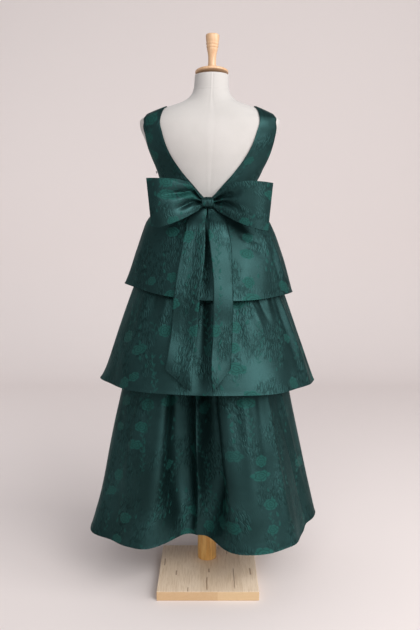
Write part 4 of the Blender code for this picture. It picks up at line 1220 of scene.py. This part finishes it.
TAIL_POINT = 0.5910
TAIL_SLANT = 0.056
TAIL_WIDTH = 0.066
TAIL_WALL = 0.0012
TAIL_EDGE = 0.0038
KNOT_BELOW = 1.055
KNOT_CLEAR = 1.010


def tier_back_y(tier, x, height):
    """Depth of a tier's outer face behind the body, here or straight above where its hem has ended."""
    low = np.full_like(x, 185.0)
    high = np.full_like(x, 355.0)
    for _ in range(22):
        middle = (low + high) / 2
        place = tier_skin(tier, middle, np.maximum(height, hem_height(tier, middle)))
        short = place[..., 0] < x
        low = np.where(short, middle, low)
        high = np.where(short, high, middle)
    return tier_skin(tier, low, np.maximum(height, hem_height(tier, low)))[..., 1]


def build_tail(name, node, table, way, shift):
    places = 0.5 - 0.5 * np.cos(np.linspace(0, math.pi, 30))
    share, across = np.meshgrid(np.linspace(1, 0, 170), places, indexing="ij")
    from_point = 1 - across if way < 0 else across
    end = TAIL_POINT + TAIL_SLANT * from_point
    top = table[0].height
    height = end + share * (top - end)
    left = read_curve(table, "left", "height", height)
    right = read_curve(table, "right", "height", height)
    x = left + across * (right - left)
    depth = np.minimum(tier_back_y(SHORT_TIER, x, height), tier_back_y(MIDDLE_TIER, x, height))
    reach = 11
    padded = np.concatenate([np.repeat(depth[:1], reach, 0), depth, np.repeat(depth[-1:], reach, 0)])
    eased = sum(padded[i:i + len(depth)] for i in range(2 * reach + 1)) / (2 * reach + 1)
    depth = np.minimum(eased - 0.0020, depth)
    near_knot = np.clip((height - 1.0) / (top - 1.0), 0, 1)
    roll = 0.007 * np.sin(math.pi * np.clip((top - height) / 0.075, 0, 1)) * np.sin(math.pi * across)
    free = 0.0075 * smooth_step(0.80, 0.60, height) * (0.5 + 0.5 * np.sin(height * 40 + across * 3 + way))
    if way < 0:
        lift = 0.0025 + 0.0065 * smooth_step(0.45, 1.0, across) + 0.0085 * (1 - across) ** 2
    else:
        lift = 0.0036 + 0.0092 * (1 - across)
    from_edge = np.clip(np.minimum(across, 1 - across) * (right - left) / TAIL_EDGE, 0, 1)
    turned = 0.0036 * (1 - np.sqrt(1 - (1 - from_edge) ** 2))
    below_knot = smooth_step(KNOT_BELOW, KNOT_CLEAR, height)
    depth = depth - 0.0030 - 0.010 * near_knot**2 - roll - free - (lift - turned) * below_knot
    face = np.stack([x, depth, height], -1)
    cut = np.stack([(across - 0.5) * TAIL_WIDTH + shift, height + shift], -1)
    cloth_panel(name, face, cut, TAIL_WALL, node)


build_tail("tail_left", "bow_tail_left", TAIL_LEFT, -1, 0.37)
build_tail("tail_right", "bow_tail_right", TAIL_RIGHT, 1, 0.83)


# Zip slider: the little painted metal slider of the concealed zip in the left side seam, with its
# drop-shaped pull hanging down. It is drawn right up, just under the armhole.
SLIDER_GREY = (0.20, 0.235, 0.23)
SLIDER_WORN = (0.42, 0.45, 0.44)
SLIDER_SIZE = (0.0022, 0.0044, 0.0056)
SLIDER_LEAN = -20
PULL_RADIUS = 0.0022
PULL_MIDDLE = -0.0030
PULL_STRETCH = 0.0036
PULL_TAPER = 0.55


def paint_slider():
    finish, tree, shader = new_finish("painted_slider", 0.38)
    spot = tree.nodes.new("ShaderNodeTexCoord").outputs["Object"]
    worn = ramp_between(tree, noise_of(tree, spot, 1400.0, 3.0), 0.55, 0.7)
    colour = blend_colours(tree, worn, SLIDER_GREY, SLIDER_WORN)
    tree.links.new(colour, shader.inputs["Base Color"])
    shader.inputs["Metallic"].default_value = 0.6
    dent_surface(tree, shader, noise_of(tree, spot, 900.0), 0.00004)
    return finish


def build_slider():
    low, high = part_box("zip_slider")
    middle = (low + high) / 2
    bpy.ops.object.select_all(action="DESELECT")
    bpy.ops.mesh.primitive_cube_add(size=1, location=(0, 0, 0))
    slider = bpy.context.object
    slider.name = "slider_and_pull"
    slider.scale = SLIDER_SIZE
    bpy.ops.object.transform_apply(location=False, rotation=False, scale=True)
    bpy.ops.object.mode_set(mode="EDIT")
    bpy.ops.mesh.select_all(action="SELECT")
    bpy.ops.mesh.bevel(offset=0.0006, segments=3, affect="EDGES")
    bpy.ops.object.mode_set(mode="OBJECT")
    bpy.ops.object.select_all(action="DESELECT")
    bpy.ops.mesh.primitive_cylinder_add(
        vertices=40, radius=PULL_RADIUS, depth=0.0008, location=(-0.0016, 0, PULL_MIDDLE),
        rotation=(0, math.radians(90), 0)
    )
    pull = bpy.context.object
    bpy.ops.object.transform_apply(location=True, rotation=True, scale=True)
    for corner in pull.data.vertices:
        if corner.co.z > PULL_MIDDLE:
            lift = (corner.co.z - PULL_MIDDLE) / PULL_RADIUS
            corner.co.z += PULL_STRETCH * lift
            corner.co.y *= 1 - PULL_TAPER * lift
    select_faces(pull, lambda middle, normal: abs(normal.x) > 0.9)
    bpy.ops.mesh.inset(thickness=0.0005, depth=-0.0001)
    bpy.ops.object.mode_set(mode="OBJECT")
    slider.select_set(True)
    bpy.context.view_layer.objects.active = slider
    bpy.ops.object.join()
    slider.location = middle
    slider.rotation_euler = (0, math.radians(SLIDER_LEAN), 0)
    settle(40)
    slider.data.materials.clear()
    slider.data.materials.append(paint_slider())
    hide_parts("zip_slider")
    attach(slider, "root")


build_slider()
